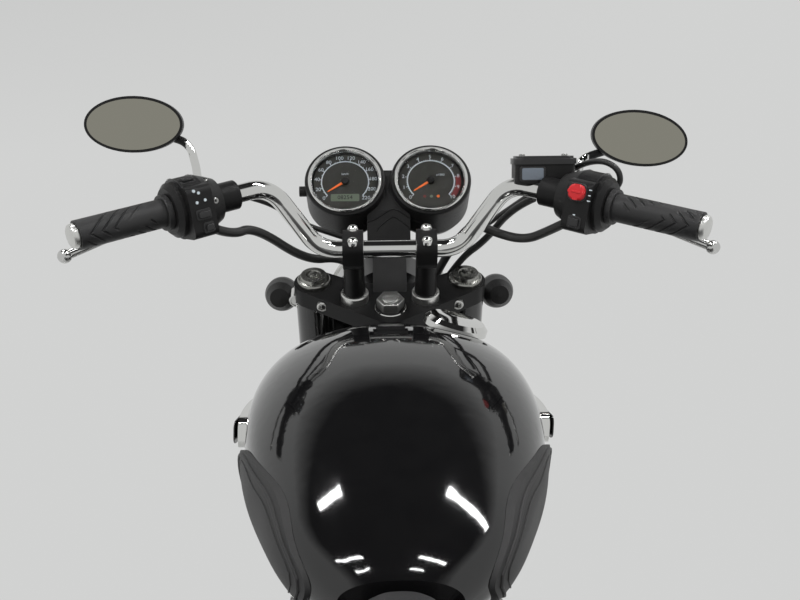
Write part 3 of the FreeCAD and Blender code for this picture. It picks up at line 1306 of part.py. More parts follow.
def lower_yoke():
    """The lower clamp with the stem that turns in the frame's head tube, and its nut on top."""
    plate = yoke(LOWER_YOKE_S, LOWER_YOKE_T, 2)
    stem = cylinder(V(0, 0, LOWER_YOKE_S), V(0, 0, 1), STEM_R, TOP_YOKE_TOP_S - LOWER_YOKE_S + 2)
    nut = hexagon(V(0, 0, TOP_YOKE_TOP_S), V(0, 0, 1), STEM_NUT_R, STEM_NUT_H)
    washer = cylinder(V(0, 0, TOP_YOKE_TOP_S), V(0, 0, 1), STEM_NUT_R + 4, 3)
    return steered(fused([plate, stem, nut, washer]))


def fork_tubes():
    """Stanchions with their domed caps."""
    tubes = []
    for side in (-1, 1):
        base = V(side * FORK_HALF_SPACING, AXLE_OFFSET, SLIDER_BOTTOM_S + SLIDER_FLOOR)
        leg = cylinder(base, V(0, 0, 1), FORK_TUBE_R, TOP_YOKE_TOP_S - base.z)
        cap = turned(((0, 0), (FORK_CAP_R, 0), (FORK_CAP_R, FORK_CAP_H * 0.45),
                      (FORK_CAP_R * 0.72, FORK_CAP_H),
                      (0, FORK_CAP_H + 2)), V(side * FORK_HALF_SPACING, AXLE_OFFSET, TOP_YOKE_TOP_S),
                      V(0, 0, 1))
        tubes.append(steered(fused([leg, cap])))
    return tubes


def fork_sliders():
    """Lower legs, bored for the stanchions, with the axle's bosses."""
    sliders = []
    for side in (-1, 1):
        x = side * FORK_HALF_SPACING
        leg = turned(((0, 0), (SLIDER_R - 4, 0), (SLIDER_R, 8),
                      (SLIDER_R, SLIDER_TOP_S - SLIDER_BOTTOM_S - 14),
                      (SLIDER_R + 2, SLIDER_TOP_S - SLIDER_BOTTOM_S - 12),
                      (SLIDER_R + 2, SLIDER_TOP_S - SLIDER_BOTTOM_S),
                      (0, SLIDER_TOP_S - SLIDER_BOTTOM_S)), V(x, AXLE_OFFSET, SLIDER_BOTTOM_S),
                      V(0, 0, 1))
        bore = cylinder(V(x, AXLE_OFFSET, SLIDER_BOTTOM_S + SLIDER_FLOOR), V(0, 0, 1), FORK_TUBE_R,
                        SLIDER_TOP_S - SLIDER_BOTTOM_S)
        axle_hole = rod(V(x - 60, AXLE_OFFSET, 0), V(x + 60, AXLE_OFFSET, 0), AXLE_R)
        sliders.append(steered(leg.cut(bore).cut(axle_hole)))
    return sliders


def headlamp_brackets():
    """Black shrouds round the legs between the yokes, each with an ear to the lamp's side."""
    brackets = []
    low = LOWER_YOKE_S + LOWER_YOKE_T
    lamp = STEER.inverse().multVec(HEADLAMP_AT)
    for side in (-1, 1):
        x = side * FORK_HALF_SPACING
        sleeve = cylinder(V(x, AXLE_OFFSET, low), V(0, 0, 1), SHROUD_R, TOP_YOKE_S - low)
        ear_x = side * (HEADLAMP_R + EAR_T)
        ear = block(ear_x - EAR_T / 2, ear_x + EAR_T / 2, AXLE_OFFSET, lamp.y, lamp.z - 22, lamp.z + 22)
        tip = rod(V(ear_x - EAR_T / 2, lamp.y, lamp.z), V(ear_x + EAR_T / 2, lamp.y, lamp.z), 22)
        body = fused([sleeve, ear, tip])
        body = body.cut(cylinder(V(x, AXLE_OFFSET, low - 1), V(0, 0, 1), FORK_TUBE_R + SEAT_GAP,
                                 TOP_YOKE_S - low + 2))
        brackets.append(steered(body))
    return brackets


# Handlebar group
def bar_points():
    """Corners of the bar's right half, from its middle to its end."""
    middle = steer_point(0, BAR_N, BAR_S)
    return [
        middle,
        middle + V(BAR_KNEE_X, 0, 0),
        middle + V(BAR_RISE_X, -BAR_RISE_BACK, BAR_RISE_UP),
        middle + V(BAR_END_X, -BAR_END_BACK, BAR_END_UP),
    ]


def grip_axis():
    """The bar's end and the way that it points in along the grip."""
    points = bar_points()
    return points[-1], (points[-2] - points[-1]).normalize()


def handlebar():
    right = bar_points()
    left = [V(-p.x, p.y, p.z) for p in reversed(right[1:])]
    return tube(left + right[1:], BAR_R, BAR_BEND_R)


def bar_clamps():
    """Risers on the top yoke, split clamps round the bar."""
    clamps = []
    for side in (-1, 1):
        x = side * RISER_HALF_SPACING
        riser = turned(((0, 0), (RISER_R + 4, 0), (RISER_R + 4, 6), (RISER_R, 10),
                        (RISER_R, BAR_S - TOP_YOKE_TOP_S - 8),
                        (0, BAR_S - TOP_YOKE_TOP_S - 8)), V(x, BAR_N, TOP_YOKE_TOP_S), V(0, 0, 1))
        head = rounded_block(x - CLAMP_W / 2, x + CLAMP_W / 2, BAR_N - CLAMP_DEPTH / 2,
                             BAR_N + CLAMP_DEPTH / 2,
                             BAR_S - CLAMP_H / 2, BAR_S + CLAMP_H / 2, 14, V(1, 0, 0))
        body = fused([riser, head])
        body = body.cut(rod(V(x - 30, BAR_N, BAR_S), V(x + 30, BAR_N, BAR_S), BAR_R))
        clamps.append(steered(body))
    return clamps


def grips():
    """Rubber grips with a flange inboard and a domed weight at the end."""
    end, inward = grip_axis()
    grip = turned(((BAR_R, 0), (GRIP_R, 0), (GRIP_R, GRIP_LEN - 6), (GRIP_R + 4, GRIP_LEN - 6),
                   (GRIP_R + 4, GRIP_LEN),
                   (BAR_R, GRIP_LEN)), end, inward)
    weight = turned(((0, 0), (BAR_WEIGHT_R, 0), (BAR_WEIGHT_R, BAR_WEIGHT_LEN * 0.6),
                     (BAR_WEIGHT_R * 0.6, BAR_WEIGHT_LEN),
                     (0, BAR_WEIGHT_LEN)), end, inward * -1)
    return pair(fused([grip, weight]))


def on_bar(along, radius, length):
    """A cylinder round the bar, starting the given way in from its end."""
    end, inward = grip_axis()
    return cylinder(end + inward * along, inward, radius, length)


def bar_frame():
    """Unit vectors at the grip: in along it, forward across it, and up."""
    _, inward = grip_axis()
    across = inward.cross(V(0, 0, 1)).normalize() * -1
    if across.y < 0:
        across = across * -1
    return inward, across, across.cross(inward) * (1 if across.cross(inward).z > 0 else -1)


def switchgear():
    """Switch housings clamped round the bar, inboard of the grips."""
    end, inward = grip_axis()
    inward, across, up = bar_frame()
    start = end + inward * (GRIP_LEN + SEAT_GAP)
    drum = turned(((0, 0), (SWITCH_R - 8, 0), (SWITCH_R - 3, 5), (SWITCH_R - 3, 11), (SWITCH_R, 13),
                   (SWITCH_R, SWITCH_LEN - 22), (SWITCH_R - 5, SWITCH_LEN - 9),
                   (SWITCH_R - 9, SWITCH_LEN),
                   (0, SWITCH_LEN)), start, inward)
    pod = oriented_block(start + inward * (SWITCH_LEN * 0.42) - across * (SWITCH_R * 0.45) - up * 4,
                         inward, across, up,
                         SWITCH_LEN * 0.5, SWITCH_R * 1.3, SWITCH_R * 1.7)
    body = fused([drum, pod])
    return pair(body.cut(on_bar(0, BAR_R, 400)))


def oriented_block(centre, x_dir, y_dir, z_dir, length, depth, height):
    """A box with rounded long edges, turned to the given directions."""
    body = rounded_block(-length / 2, length / 2, -depth / 2, depth / 2, -height / 2, height / 2,
                         min(depth, height) * 0.2,
                         V(1, 0, 0))
    body.Placement = Placement(centre, Rotation(x_dir, y_dir, z_dir, "XYZ"))
    return body


def hand_levers():
    """Perch round the bar, and the blade that lies ahead of the grip, with its ball end."""
    end, inward = grip_axis()
    inward, across, up = bar_frame()
    perch = on_bar(PERCH_ALONG, PERCH_R, PERCH_LEN)
    pivot = end + inward * (PERCH_ALONG + PERCH_LEN * 0.5) + across * 40
    arm = rod(end + inward * (PERCH_ALONG + PERCH_LEN * 0.5) + across * 8, pivot, 9)
    tip = end + across * LEVER_REACH - up * LEVER_DROP - inward * 2
    knee = end + inward * (GRIP_LEN + 24) + across * (LEVER_REACH - 6) - up * (LEVER_DROP * 0.2)
    blade = tube([pivot, knee, tip], LEVER_THICK / 2 + 1, 60)
    ball = Part.makeSphere(LEVER_BALL_R, tip)
    body = fused([perch, arm, blade, ball])
    return pair(body.cut(on_bar(0, BAR_R, 400)))


def brake_reservoir():
    """Fluid box ahead of the bar on the right, on the lever's perch."""
    end, inward = grip_axis()
    perch = end + inward * (PERCH_ALONG + PERCH_LEN * 0.5)
    low = perch.z + BAR_R
    centre = V(perch.x - 8, perch.y + RESERVOIR_AHEAD, low + RESERVOIR_H / 2)
    box = rounded_block(centre.x - RESERVOIR_LEN / 2, centre.x + RESERVOIR_LEN / 2,
                        centre.y - RESERVOIR_DEPTH / 2,
                        centre.y + RESERVOIR_DEPTH / 2, low, low + RESERVOIR_H, 9, V(0, 0, 1))
    neck = rod(V(perch.x, perch.y + 12, low + 4), V(perch.x, perch.y + 12, low - 16), 8)
    return fused([box, neck]).cut(fused([hand_levers()[0], handlebar()])).cut(switchgear()[0])


def mirror_centre(side):
    """Middle of a mirror's glass. The left one is set a little higher than the right one."""
    return steer_point(side * MIRROR_X, MIRROR_N, MIRROR_S) - V(0, 0, side * MIRROR_SET)


def rolled(shape, side):
    """Turns a mirror's piece about its own middle, the right one only."""
    placed = shape.copy()
    if side > 0:
        placed.rotate(mirror_centre(side), V(0, 1, 0), RIGHT_MIRROR_ROLL_DEG)
    return placed


def mirrors():
    """Oval housings, open in front for the glass, each on a curved stalk from the perch."""
    end, inward = grip_axis()
    _, across, up = bar_frame()
    foot = end + inward * (PERCH_ALONG + PERCH_LEN * 0.5) + across * 40 + up * 4
    levers = hand_levers()
    shells = []
    for side in (-1, 1):
        centre = mirror_centre(side)
        start = V(side * foot.x, foot.y, foot.z)
        stalk = tube([start, start + V(side * 14, 20, -2), start + V(side * 18, 26, 30),
                      centre + V(-side * 62, 16, -22),
                      centre + V(-side * 4, 15, -4)], STALK_R, 30)
        face = oval_prism(centre, MIRROR_HALF_W, MIRROR_HALF_H, MIRROR_DEPTH * 0.4)
        bowl = Part.makeLoft([
            oval_wire(centre + V(0, MIRROR_DEPTH * 0.4, 0), MIRROR_HALF_W, MIRROR_HALF_H),
            oval_wire(centre + V(0, MIRROR_DEPTH, 0), MIRROR_HALF_W * 0.7, MIRROR_HALF_H * 0.65),
        ], True, True)
        recess = oval_prism(centre - V(0, 1, 0), MIRROR_HALF_W - MIRROR_RIM, MIRROR_HALF_H - MIRROR_RIM,
                            GLASS_T + 2)
        shell = rolled(fused([face, bowl]).cut(recess), side)
        solid_face = rolled(face, side)
        body = fused([shell, stalk.cut(solid_face)])
        shells.append(body.cut(levers[0 if side > 0 else 1]))
    return shells


def oval_wire(centre, half_w, half_h):
    oval = Part.Ellipse(V(0, 0, 0), half_w, half_h)
    edge = oval.toShape()
    edge.Placement = Placement(centre, Rotation(V(1, 0, 0), 90))
    return Part.Wire([edge])


def oval_prism(start, half_w, half_h, depth):
    return Part.Face(oval_wire(start, half_w, half_h)).extrude(V(0, depth, 0))


def mirror_glasses():
    glasses = []
    for side in (-1, 1):
        start = mirror_centre(side) + V(0, 1.8 - GLASS_T, 0)
        glass = oval_prism(start, MIRROR_HALF_W - MIRROR_RIM - 0.2, MIRROR_HALF_H - MIRROR_RIM - 0.2,
                           GLASS_T)
        glasses.append(rolled(glass, side))
    return glasses


# Instruments
def dial_frame(side):
    tilt = math.radians(DIAL_TILT_DEG)
    return DIALS_AT + V(side * DIAL_HALF_SPACING, 0, 0), V(0, math.cos(tilt), -math.sin(tilt))


def instrument_cups():
    """Two open cups with the dials on their floors, on one bracket that stands on the top yoke."""
    cups = []
    for side in (-1, 1):
        centre, inward = dial_frame(side)
        cups.append(turned(((0, 6), (CUP_R - CUP_WALL, 6), (CUP_R - CUP_WALL, 0), (CUP_R, 0),
                            (CUP_R, CUP_DEPTH - 22),
                            (CUP_BACK_R, CUP_DEPTH - 8), (CUP_BACK_R - 12, CUP_DEPTH), (0, CUP_DEPTH)),
                           centre, inward))
    centre, inward = dial_frame(0)
    along = V(0, -inward.z, inward.y)
    bridge = extruded_outline((
        centre + inward * 10 + along * 22, centre + inward * 10 - along * 40,
        centre + inward * 26 - along * 82,
        centre + inward * 62 - along * 82, centre + inward * 66 + along * 10,
    ), V(DIAL_HALF_SPACING, 0, 0)).translated(V(-DIAL_HALF_SPACING / 2, 0, 0))
    knob = rod(centre + inward * 16 - V(DIAL_HALF_SPACING + CUP_R + 8, 0, 0) - along * 6,
               centre + inward * 16 - V(DIAL_HALF_SPACING + CUP_R - 4, 0, 0) - along * 6, 7)
    yoke_edge = steer_point(0, AXLE_OFFSET - 12, TOP_YOKE_TOP_S)
    foot = centre + inward * 40 - along * 74
    leg = extruded_outline((
        V(0, yoke_edge.y - 12, yoke_edge.z - 6), V(0, yoke_edge.y + 10, yoke_edge.z + 6),
        foot + V(0, 14, 0),
        foot - V(0, 14, 0),
    ), V(44, 0, 0)).translated(V(-22, 0, 0)).cut(steered(yoke_block()))
    return fused(cups + [bridge, knob, leg])


def yoke_block():
    """The room that the top yoke's plate takes, for cutting what stands on it."""
    reach = 2 * FORK_HALF_SPACING
    return block(-reach, reach, -reach, reach, TOP_YOKE_S - reach, TOP_YOKE_TOP_S)


def instrument_bezels():
    """Chrome rings that hold the dial glasses, seated in the cups' mouths."""
    rings = []
    for side in (-1, 1):
        centre, inward = dial_frame(side)
        rings.append(turned(((BEZEL_R - BEZEL_RING, 2), (BEZEL_R - 3, -BEZEL_T),
                             (BEZEL_R - 0.6, -BEZEL_T + 2),
                             (BEZEL_R - 0.3, 5.7), (BEZEL_R - BEZEL_RING, 5.7)), centre, inward))
    return rings


# Headlamp
def headlamp_shell():
    """The bowl with its chrome rim, open to the lens."""
    wall = HEADLAMP_WALL
    front = HEADLAMP_AT
    return [turned((
        (0, -HEADLAMP_DEPTH), (HEADLAMP_R * 0.4, -HEADLAMP_DEPTH * 0.96),
        (HEADLAMP_R * 0.75, -HEADLAMP_DEPTH * 0.74),
        (HEADLAMP_R * 0.95, -HEADLAMP_DEPTH * 0.4), (HEADLAMP_R, 0), (HEADLAMP_R, 30),
        (HEADLAMP_RIM_R, 32),
        (HEADLAMP_RIM_R, 30 + HEADLAMP_RIM_W), (HEADLAMP_RIM_R - 10, 34 + HEADLAMP_RIM_W),
        (HEADLAMP_RIM_R - 12, 30 + HEADLAMP_RIM_W), (HEADLAMP_RIM_R - 12, 34), (HEADLAMP_R - wall, 30),
        (HEADLAMP_R - wall, 0), (HEADLAMP_R * 0.95 - wall, -HEADLAMP_DEPTH * 0.38),
        (HEADLAMP_R * 0.73 - wall, -HEADLAMP_DEPTH * 0.7), (0, -HEADLAMP_DEPTH * 0.9),
    ), front, V(0, 1, 0))]


def headlamp_lens():
    """A domed lens seated in the rim."""
    radius = HEADLAMP_RIM_R - 12 - SEAT_GAP
    seat_y = 36.0
    steps = 6
    crown = [(radius * k / steps, seat_y + LENS_BULGE * (1 - (k / steps) ** 2)) for k in range(steps + 1)]
    front_face = [(r, y + LENS_T) for r, y in crown]
    return [turned(crown + front_face[::-1], HEADLAMP_AT, V(0, 1, 0))]


def front_caliper():
    """Caliper behind the right leg, open round the disc."""
    leg = steer_point(0, AXLE_OFFSET, 0)
    centre = leg + V(0, -FRONT_CALIPER_BACK, FRONT_CALIPER_UP)
    rear_y = centre.y - 42
    low_z = centre.z - 34
    body = rounded_block(FRONT_DISC_X - CALIPER_HALF_W, FRONT_DISC_X + CALIPER_HALF_W, rear_y,
                         rear_y + FRONT_CALIPER_LEN,
                         low_z, low_z + FRONT_CALIPER_H, CALIPER_CORNER_R, V(1, 0, 0))
    gap_half_w = DISC_THICK / 2 + CALIPER_GAP
    gap = cylinder(FRONT_AXLE + V(FRONT_DISC_X - gap_half_w, 0, 0), V(1, 0, 0), FRONT_DISC_R + 6,
                   2 * gap_half_w)
    arm = extruded_outline((
        V(FRONT_DISC_X + 10, centre.y + 10, centre.z - 26),
        V(FRONT_DISC_X + 10, centre.y + 10, centre.z + 32),
        steer_point(FRONT_DISC_X + 10, AXLE_OFFSET - 10, 130),
        steer_point(FRONT_DISC_X + 10, AXLE_OFFSET - 10, 60),
    ), V(12, 0, 0))
    solid_leg = steered(cylinder(V(FORK_HALF_SPACING, AXLE_OFFSET, SLIDER_BOTTOM_S), V(0, 0, 1),
                                 SLIDER_R,
                                 SLIDER_TOP_S - SLIDER_BOTTOM_S))
    return fused([body.cut(gap), arm]).cut(solid_leg)


# Stands
def centre_stand():
    """Cross tube on its pin, two splayed legs and flat feet."""
    pivot_l = V(-UPRIGHT_X + CENTRE_LUG_T / 2 + 1, CENTRE_PIVOT_Y, CENTRE_PIVOT_Z)
    pivot_r = V(-pivot_l.x, CENTRE_PIVOT_Y, CENTRE_PIVOT_Z)
    parts = [rod(pivot_l, pivot_r, CENTRE_LEG_R + 2)]
    pin_half = UPRIGHT_X + CENTRE_LUG_T / 2 + 12
    parts.append(rod(V(-pin_half, CENTRE_PIVOT_Y, CENTRE_PIVOT_Z),
                     V(pin_half, CENTRE_PIVOT_Y, CENTRE_PIVOT_Z), STAND_PIN_R))
    for side in (-1, 1):
        outer_x = side * (UPRIGHT_X + CENTRE_LUG_T / 2 + 1)
        parts.append(rod(V(outer_x, CENTRE_PIVOT_Y, CENTRE_PIVOT_Z),
                         V(outer_x + side * 14, CENTRE_PIVOT_Y, CENTRE_PIVOT_Z),
                         CENTRE_LEG_R + 2))
        foot = V(side * CENTRE_FOOT_X, CENTRE_PIVOT_Y + CENTRE_FOOT_AHEAD, 0)
        parts.append(rod(V(side * CENTRE_LEG_TOP_X, CENTRE_PIVOT_Y, CENTRE_PIVOT_Z - 2),
                         foot + V(0, 0, CENTRE_FOOT_T + 8),
                         CENTRE_LEG_R))
        parts.append(block(foot.x - CENTRE_FOOT_W / 2, foot.x + CENTRE_FOOT_W / 2,
                           foot.y - CENTRE_FOOT_LEN / 2,
                           foot.y + CENTRE_FOOT_LEN / 2, 0, CENTRE_FOOT_T))
        parts.append(cylinder(foot, V(0, 0, 1), CENTRE_LEG_R, CENTRE_FOOT_T + 14))
    brace = 0.45
    parts.append(rod(V(-(CENTRE_LEG_TOP_X + (CENTRE_FOOT_X - CENTRE_LEG_TOP_X) * brace),
                       CENTRE_PIVOT_Y + CENTRE_FOOT_AHEAD * brace, CENTRE_PIVOT_Z * (1 - brace)),
                     V(CENTRE_LEG_TOP_X + (CENTRE_FOOT_X - CENTRE_LEG_TOP_X) * brace,
                       CENTRE_PIVOT_Y + CENTRE_FOOT_AHEAD * brace, CENTRE_PIVOT_Z * (1 - brace)),
                       CENTRE_LEG_R - 3))
    return fused(parts)


def side_stand():
    """Folded leg with its eye and its foot."""
    axis, folded = side_fold_frame()
    pivot = V(SIDE_PIVOT_X, SIDE_PIVOT_Y, SIDE_PIVOT_Z)
    eye = cylinder(pivot - axis * SIDE_LEG_R, axis, SIDE_LEG_R + 4, 2 * SIDE_LEG_R)
    end = pivot + folded * SIDE_LEG_LEN
    leg = rod(pivot + folded * 6, end, SIDE_LEG_R)
    foot = cylinder(end - folded * 5, folded, 17, 6)
    body = fused([eye, leg, foot])
    return body.cut(cylinder(pivot - axis * 40, axis, STAND_PIN_R + RUN_FIT, 80))


# Cables held along their routes
def cable_routes():
    """Corner points of each cable, from the controls to their ends behind the headlamp."""
    end, inward = grip_axis()
    perch = end + inward * (PERCH_ALONG + PERCH_LEN * 0.5)
    routes = []
    for side, radius, from_perch, from_lamp in CABLES:
        start = V(side * perch.x, perch.y, perch.z)
        points = [start + V(side * x, y, z) for x, y, z in from_perch]
        points += [HEADLAMP_AT + V(side * x, y, z) for x, y, z in from_lamp]
        routes.append((points, radius))
    return routes


def control_cables():
    """Wiring looms, clutch cable, throttle cable and brake hose between the bar and the headlamp."""
    housings = fused(switchgear() + hand_levers() + [top_yoke()])
    return [tube(points, radius, CABLE_BEND_R).cut(housings) for points, radius in cable_routes()]


def build():
    frame = frame_tubes()
    nodes = {
        "frame": [frame],
        "swingarm": [swingarm()],
        "rear_axle": [rear_axle()],
        "rear_dampers": [damper(-1), damper(1)],
        "rear_springs": [spring(-1), spring(1)],
        "crankcase": [crankcase()],
        "cylinder_block": [cylinder_block()],
        "cylinder_head": [cylinder_head()],
        "cam_cover": [cam_cover()],
        "engine_covers": engine_covers(),
        "intakes": [intakes()],
        "exhausts": [exhaust(-1), exhaust(1)],
        "tank": [tank()],
        "knee_pads": knee_pads(),
        "tank_badges": tank_badges(),
        "filler_cap": [filler_cap()],
        "seat": [seat()],
        "side_panels": side_panels(),
        "rear_mudguard": [rear_mudguard()],
        "rear_lamps": [rear_lamps()],
        "chain": [chain()],
        "chain_guard": [chain_guard()],
        "footrests": footrests(frame),
        "foot_controls": foot_controls(),
        "rear_caliper": [rear_caliper()],
        "top_yoke": [top_yoke()],
        "lower_yoke": [lower_yoke()],
        "fork_tubes": fork_tubes(),
        "fork_sliders": fork_sliders(),
        "headlamp_brackets": headlamp_brackets(),
        "front_axle": [front_axle()],
        "handlebar": [handlebar()],
        "bar_clamps": bar_clamps(),
        "grips": grips(),
        "switchgear": switchgear(),
        "hand_levers": hand_levers(),
        "brake_reservoir": [brake_reservoir()],
        "mirrors": mirrors(),
        "mirror_glasses": mirror_glasses(),
        "instrument_cups": [instrument_cups()],
        "instrument_bezels": instrument_bezels(),
        "headlamp_shell": headlamp_shell(),
        "headlamp_lens": headlamp_lens(),
        "front_indicators": front_indicators(),
        "front_mudguard": [front_mudguard()],
        "front_caliper": [front_caliper()],
        "control_cables": control_cables(),
        "centre_stand": [centre_stand()],
        "side_stand": [side_stand()],
    }
    nodes.update(front_wheel_parts())
    nodes.update(rear_wheel_parts())
    return nodes


def write(nodes):
    os.makedirs("parts", exist_ok=True)
    for name, shapes in nodes.items():
        solids = [solid for shape in shapes for solid in shape.Solids]
        placed = Part.makeCompound(solids) if len(solids) > 1 else solids[0]
        placed = placed.translated(V(0, -MID_Y, 0))
        placed.exportStep("parts/" + name + ".step")


write(build())
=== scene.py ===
"""Studio scene of a retro parallel twin roadster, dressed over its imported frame.

Everything is in metres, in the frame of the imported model: X to the rider's right, Y forward,
Z up, the floor at zero. The sizes that a piece shares with the model are read from the model's
own nodes where that is possible, and otherwise stand as named fields of the piece's class.
"""

from __future__ import annotations

import json
import logging
import math
from dataclasses import dataclass, field
from enum import Enum
from functools import cache
from typing import Callable, Sequence

import bmesh
import bpy
from mathutils import Matrix, Vector
from mathutils.bvhtree import BVHTree

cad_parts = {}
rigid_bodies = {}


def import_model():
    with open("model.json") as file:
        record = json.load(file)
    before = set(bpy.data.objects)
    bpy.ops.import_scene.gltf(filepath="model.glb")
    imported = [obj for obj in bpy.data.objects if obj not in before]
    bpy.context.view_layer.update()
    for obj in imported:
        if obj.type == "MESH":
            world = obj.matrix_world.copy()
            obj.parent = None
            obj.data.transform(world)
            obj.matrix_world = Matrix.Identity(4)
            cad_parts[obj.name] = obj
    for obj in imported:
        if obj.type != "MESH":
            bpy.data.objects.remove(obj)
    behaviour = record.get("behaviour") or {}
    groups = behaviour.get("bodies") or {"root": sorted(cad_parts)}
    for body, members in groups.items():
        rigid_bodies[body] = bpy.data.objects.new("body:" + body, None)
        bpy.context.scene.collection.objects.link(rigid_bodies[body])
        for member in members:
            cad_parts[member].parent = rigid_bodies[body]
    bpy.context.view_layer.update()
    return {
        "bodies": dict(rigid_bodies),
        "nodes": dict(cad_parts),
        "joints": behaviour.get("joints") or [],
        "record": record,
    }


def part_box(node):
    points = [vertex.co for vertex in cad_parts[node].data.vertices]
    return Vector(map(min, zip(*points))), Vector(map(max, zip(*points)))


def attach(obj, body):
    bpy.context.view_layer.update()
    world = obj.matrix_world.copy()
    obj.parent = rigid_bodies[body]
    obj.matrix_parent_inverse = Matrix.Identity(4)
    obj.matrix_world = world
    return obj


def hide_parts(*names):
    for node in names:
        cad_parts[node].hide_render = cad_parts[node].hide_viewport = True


LOG = logging.getLogger("roadster")
PHOTO_WIDTH_PX = 800
PHOTO_HEIGHT_PX = 600
SENSOR_MM = 36.0
LETTER_SIZE = 1.35
LETTER_RAISE = 0.00008
FULL_TURN = 2 * math.pi
MM = 0.001
MIDDLE_Y_MM = 715.5
RAKE = math.radians(28.0)
STEER_FOOT_MM = (1448.55, 303.64)
RIGHT = Vector((1, 0, 0))
AHEAD = Vector((0, 1, 0))
UP = Vector((0, 0, 1))
WHITE = (1.0, 1.0, 1.0, 1.0)

Flat = tuple[float, float]
Point = tuple[float, float, float]


class Body(Enum):
    """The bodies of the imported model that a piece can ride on."""

    ROOT = "root"
    STEERING = "steering"
    FRONT_WHEEL = "front_wheel"
    REAR_WHEEL = "rear_wheel"
    CENTRE_STAND = "centre_stand"
    SIDE_STAND = "side_stand"


class Slot(Enum):
    """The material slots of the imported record."""

    GLOSS_BLACK = "gloss_black_paint"
    SATIN_BLACK = "satin_black_metal"
    CHROME = "chrome"
    POLISHED = "polished_alloy"
    CAST = "cast_alloy"
    STEEL = "steel"
    TYRE = "tyre_rubber"
    GRIP = "grip_rubber"
    SEAT = "seat_vinyl"
    PLASTIC = "black_plastic"
    LENS = "clear_lens"
    MIRROR = "mirror_glass"
    LAMP = "lamp_plastic"


# Nodes, and the shader groups that the finishes share
def add_socket(tree: bpy.types.NodeTree, name: str, kind: str, way: str = "INPUT",
               value: float | None = None) -> None:
    """Adds one socket to a group's own interface.

    Args:
        tree: The group's node tree.
        name: The socket's name.
        kind: What it carries, such as Float or Color.
        way: INPUT or OUTPUT.
        value: The default of an input.
    """
    socket = tree.interface.new_socket(name=name, in_out=way, socket_type="NodeSocket" + kind)
    if value is not None:
        socket.default_value = value


def add_node(tree: bpy.types.NodeTree, kind: str, values: dict[str | int, object] | None = None,
             **settings: object) -> bpy.types.Node:
    """Adds one node to a tree.

    Args:
        tree: The tree.
        kind: The node's type.
        values: The values of its inputs, by name or number.
        settings: Its own settings, which are made first.

    Returns:
        The node.
    """
    node = tree.nodes.new(kind)
    for name, value in settings.items():
        setattr(node, name, value)
    for name, value in (values or {}).items():
        node.inputs[name].default_value = value
    return node


def wire(tree: bpy.types.NodeTree, *runs: tuple) -> None:
    """Links nodes of a tree.

    Args:
        tree: The tree.
        runs: The links, each as a node, its output, the next node and its input.
    """
    for source, given, target, taken in runs:
        tree.links.new(source.outputs[given], target.inputs[taken])


@cache
def surface_grain_group() -> bpy.types.NodeTree:
    """Fine grain of a moulded, cast or painted surface.

    Returns:
        A group that turns a scale into the height of the grain.
    """
    tree = bpy.data.node_groups.new("surface_grain", "ShaderNodeTree")
    add_socket(tree, "Grain Scale", "Float", value=900.0)
    add_socket(tree, "Height", "Float", "OUTPUT")
    given = add_node(tree, "NodeGroupInput")
    out = add_node(tree, "NodeGroupOutput")
    place = add_node(tree, "ShaderNodeTexCoord")
    grain = add_node(tree, "ShaderNodeTexNoise", {"Detail": 3.0})
    wire(tree, (place, "Object", grain, "Vector"), (given, "Grain Scale", grain, "Scale"),
         (grain, "Fac", out, "Height"))
    return tree


@cache
def handling_group() -> bpy.types.NodeTree:
    """Smears and dust that handling leaves on a finish.

    Returns:
        A group that turns a base roughness and colour into ones that vary over the surface.
    """
    tree = bpy.data.node_groups.new("handling_marks", "ShaderNodeTree")
    add_socket(tree, "Colour", "Color")
    add_socket(tree, "Dust Colour", "Color")
    for socket, value in (("Dust", 0.05), ("Roughness", 0.3), ("Smear", 0.05), ("Scale", 30.0)):
        add_socket(tree, socket, "Float", value=value)
    add_socket(tree, "Colour", "Color", "OUTPUT")
    add_socket(tree, "Roughness", "Float", "OUTPUT")
    given = add_node(tree, "NodeGroupInput")
    out = add_node(tree, "NodeGroupOutput")
    place = add_node(tree, "ShaderNodeTexCoord")
    smear = add_node(tree, "ShaderNodeTexNoise", {"Detail": 5.0, "Distortion": 0.8})
    centred = add_node(tree, "ShaderNodeMath", {1: 0.5}, operation="SUBTRACT")
    spread = add_node(tree, "ShaderNodeMath", operation="MULTIPLY_ADD")
    dusty = add_node(tree, "ShaderNodeMath", operation="MULTIPLY")
    mix = add_node(tree, "ShaderNodeMix", data_type="RGBA")
    wire(tree, (place, "Object", smear, "Vector"), (given, "Scale", smear, "Scale"),
         (smear, "Fac", centred, 0), (centred, "Value", spread, 0), (given, "Smear", spread, 1),
         (given, "Roughness", spread, 2), (spread, "Value", out, "Roughness"),
         (smear, "Fac", dusty, 0), (given, "Dust", dusty, 1), (dusty, "Value", mix, "Factor"),
         (given, "Colour", mix, 6), (given, "Dust Colour", mix, 7), (mix, 2, out, "Colour"))
    return tree


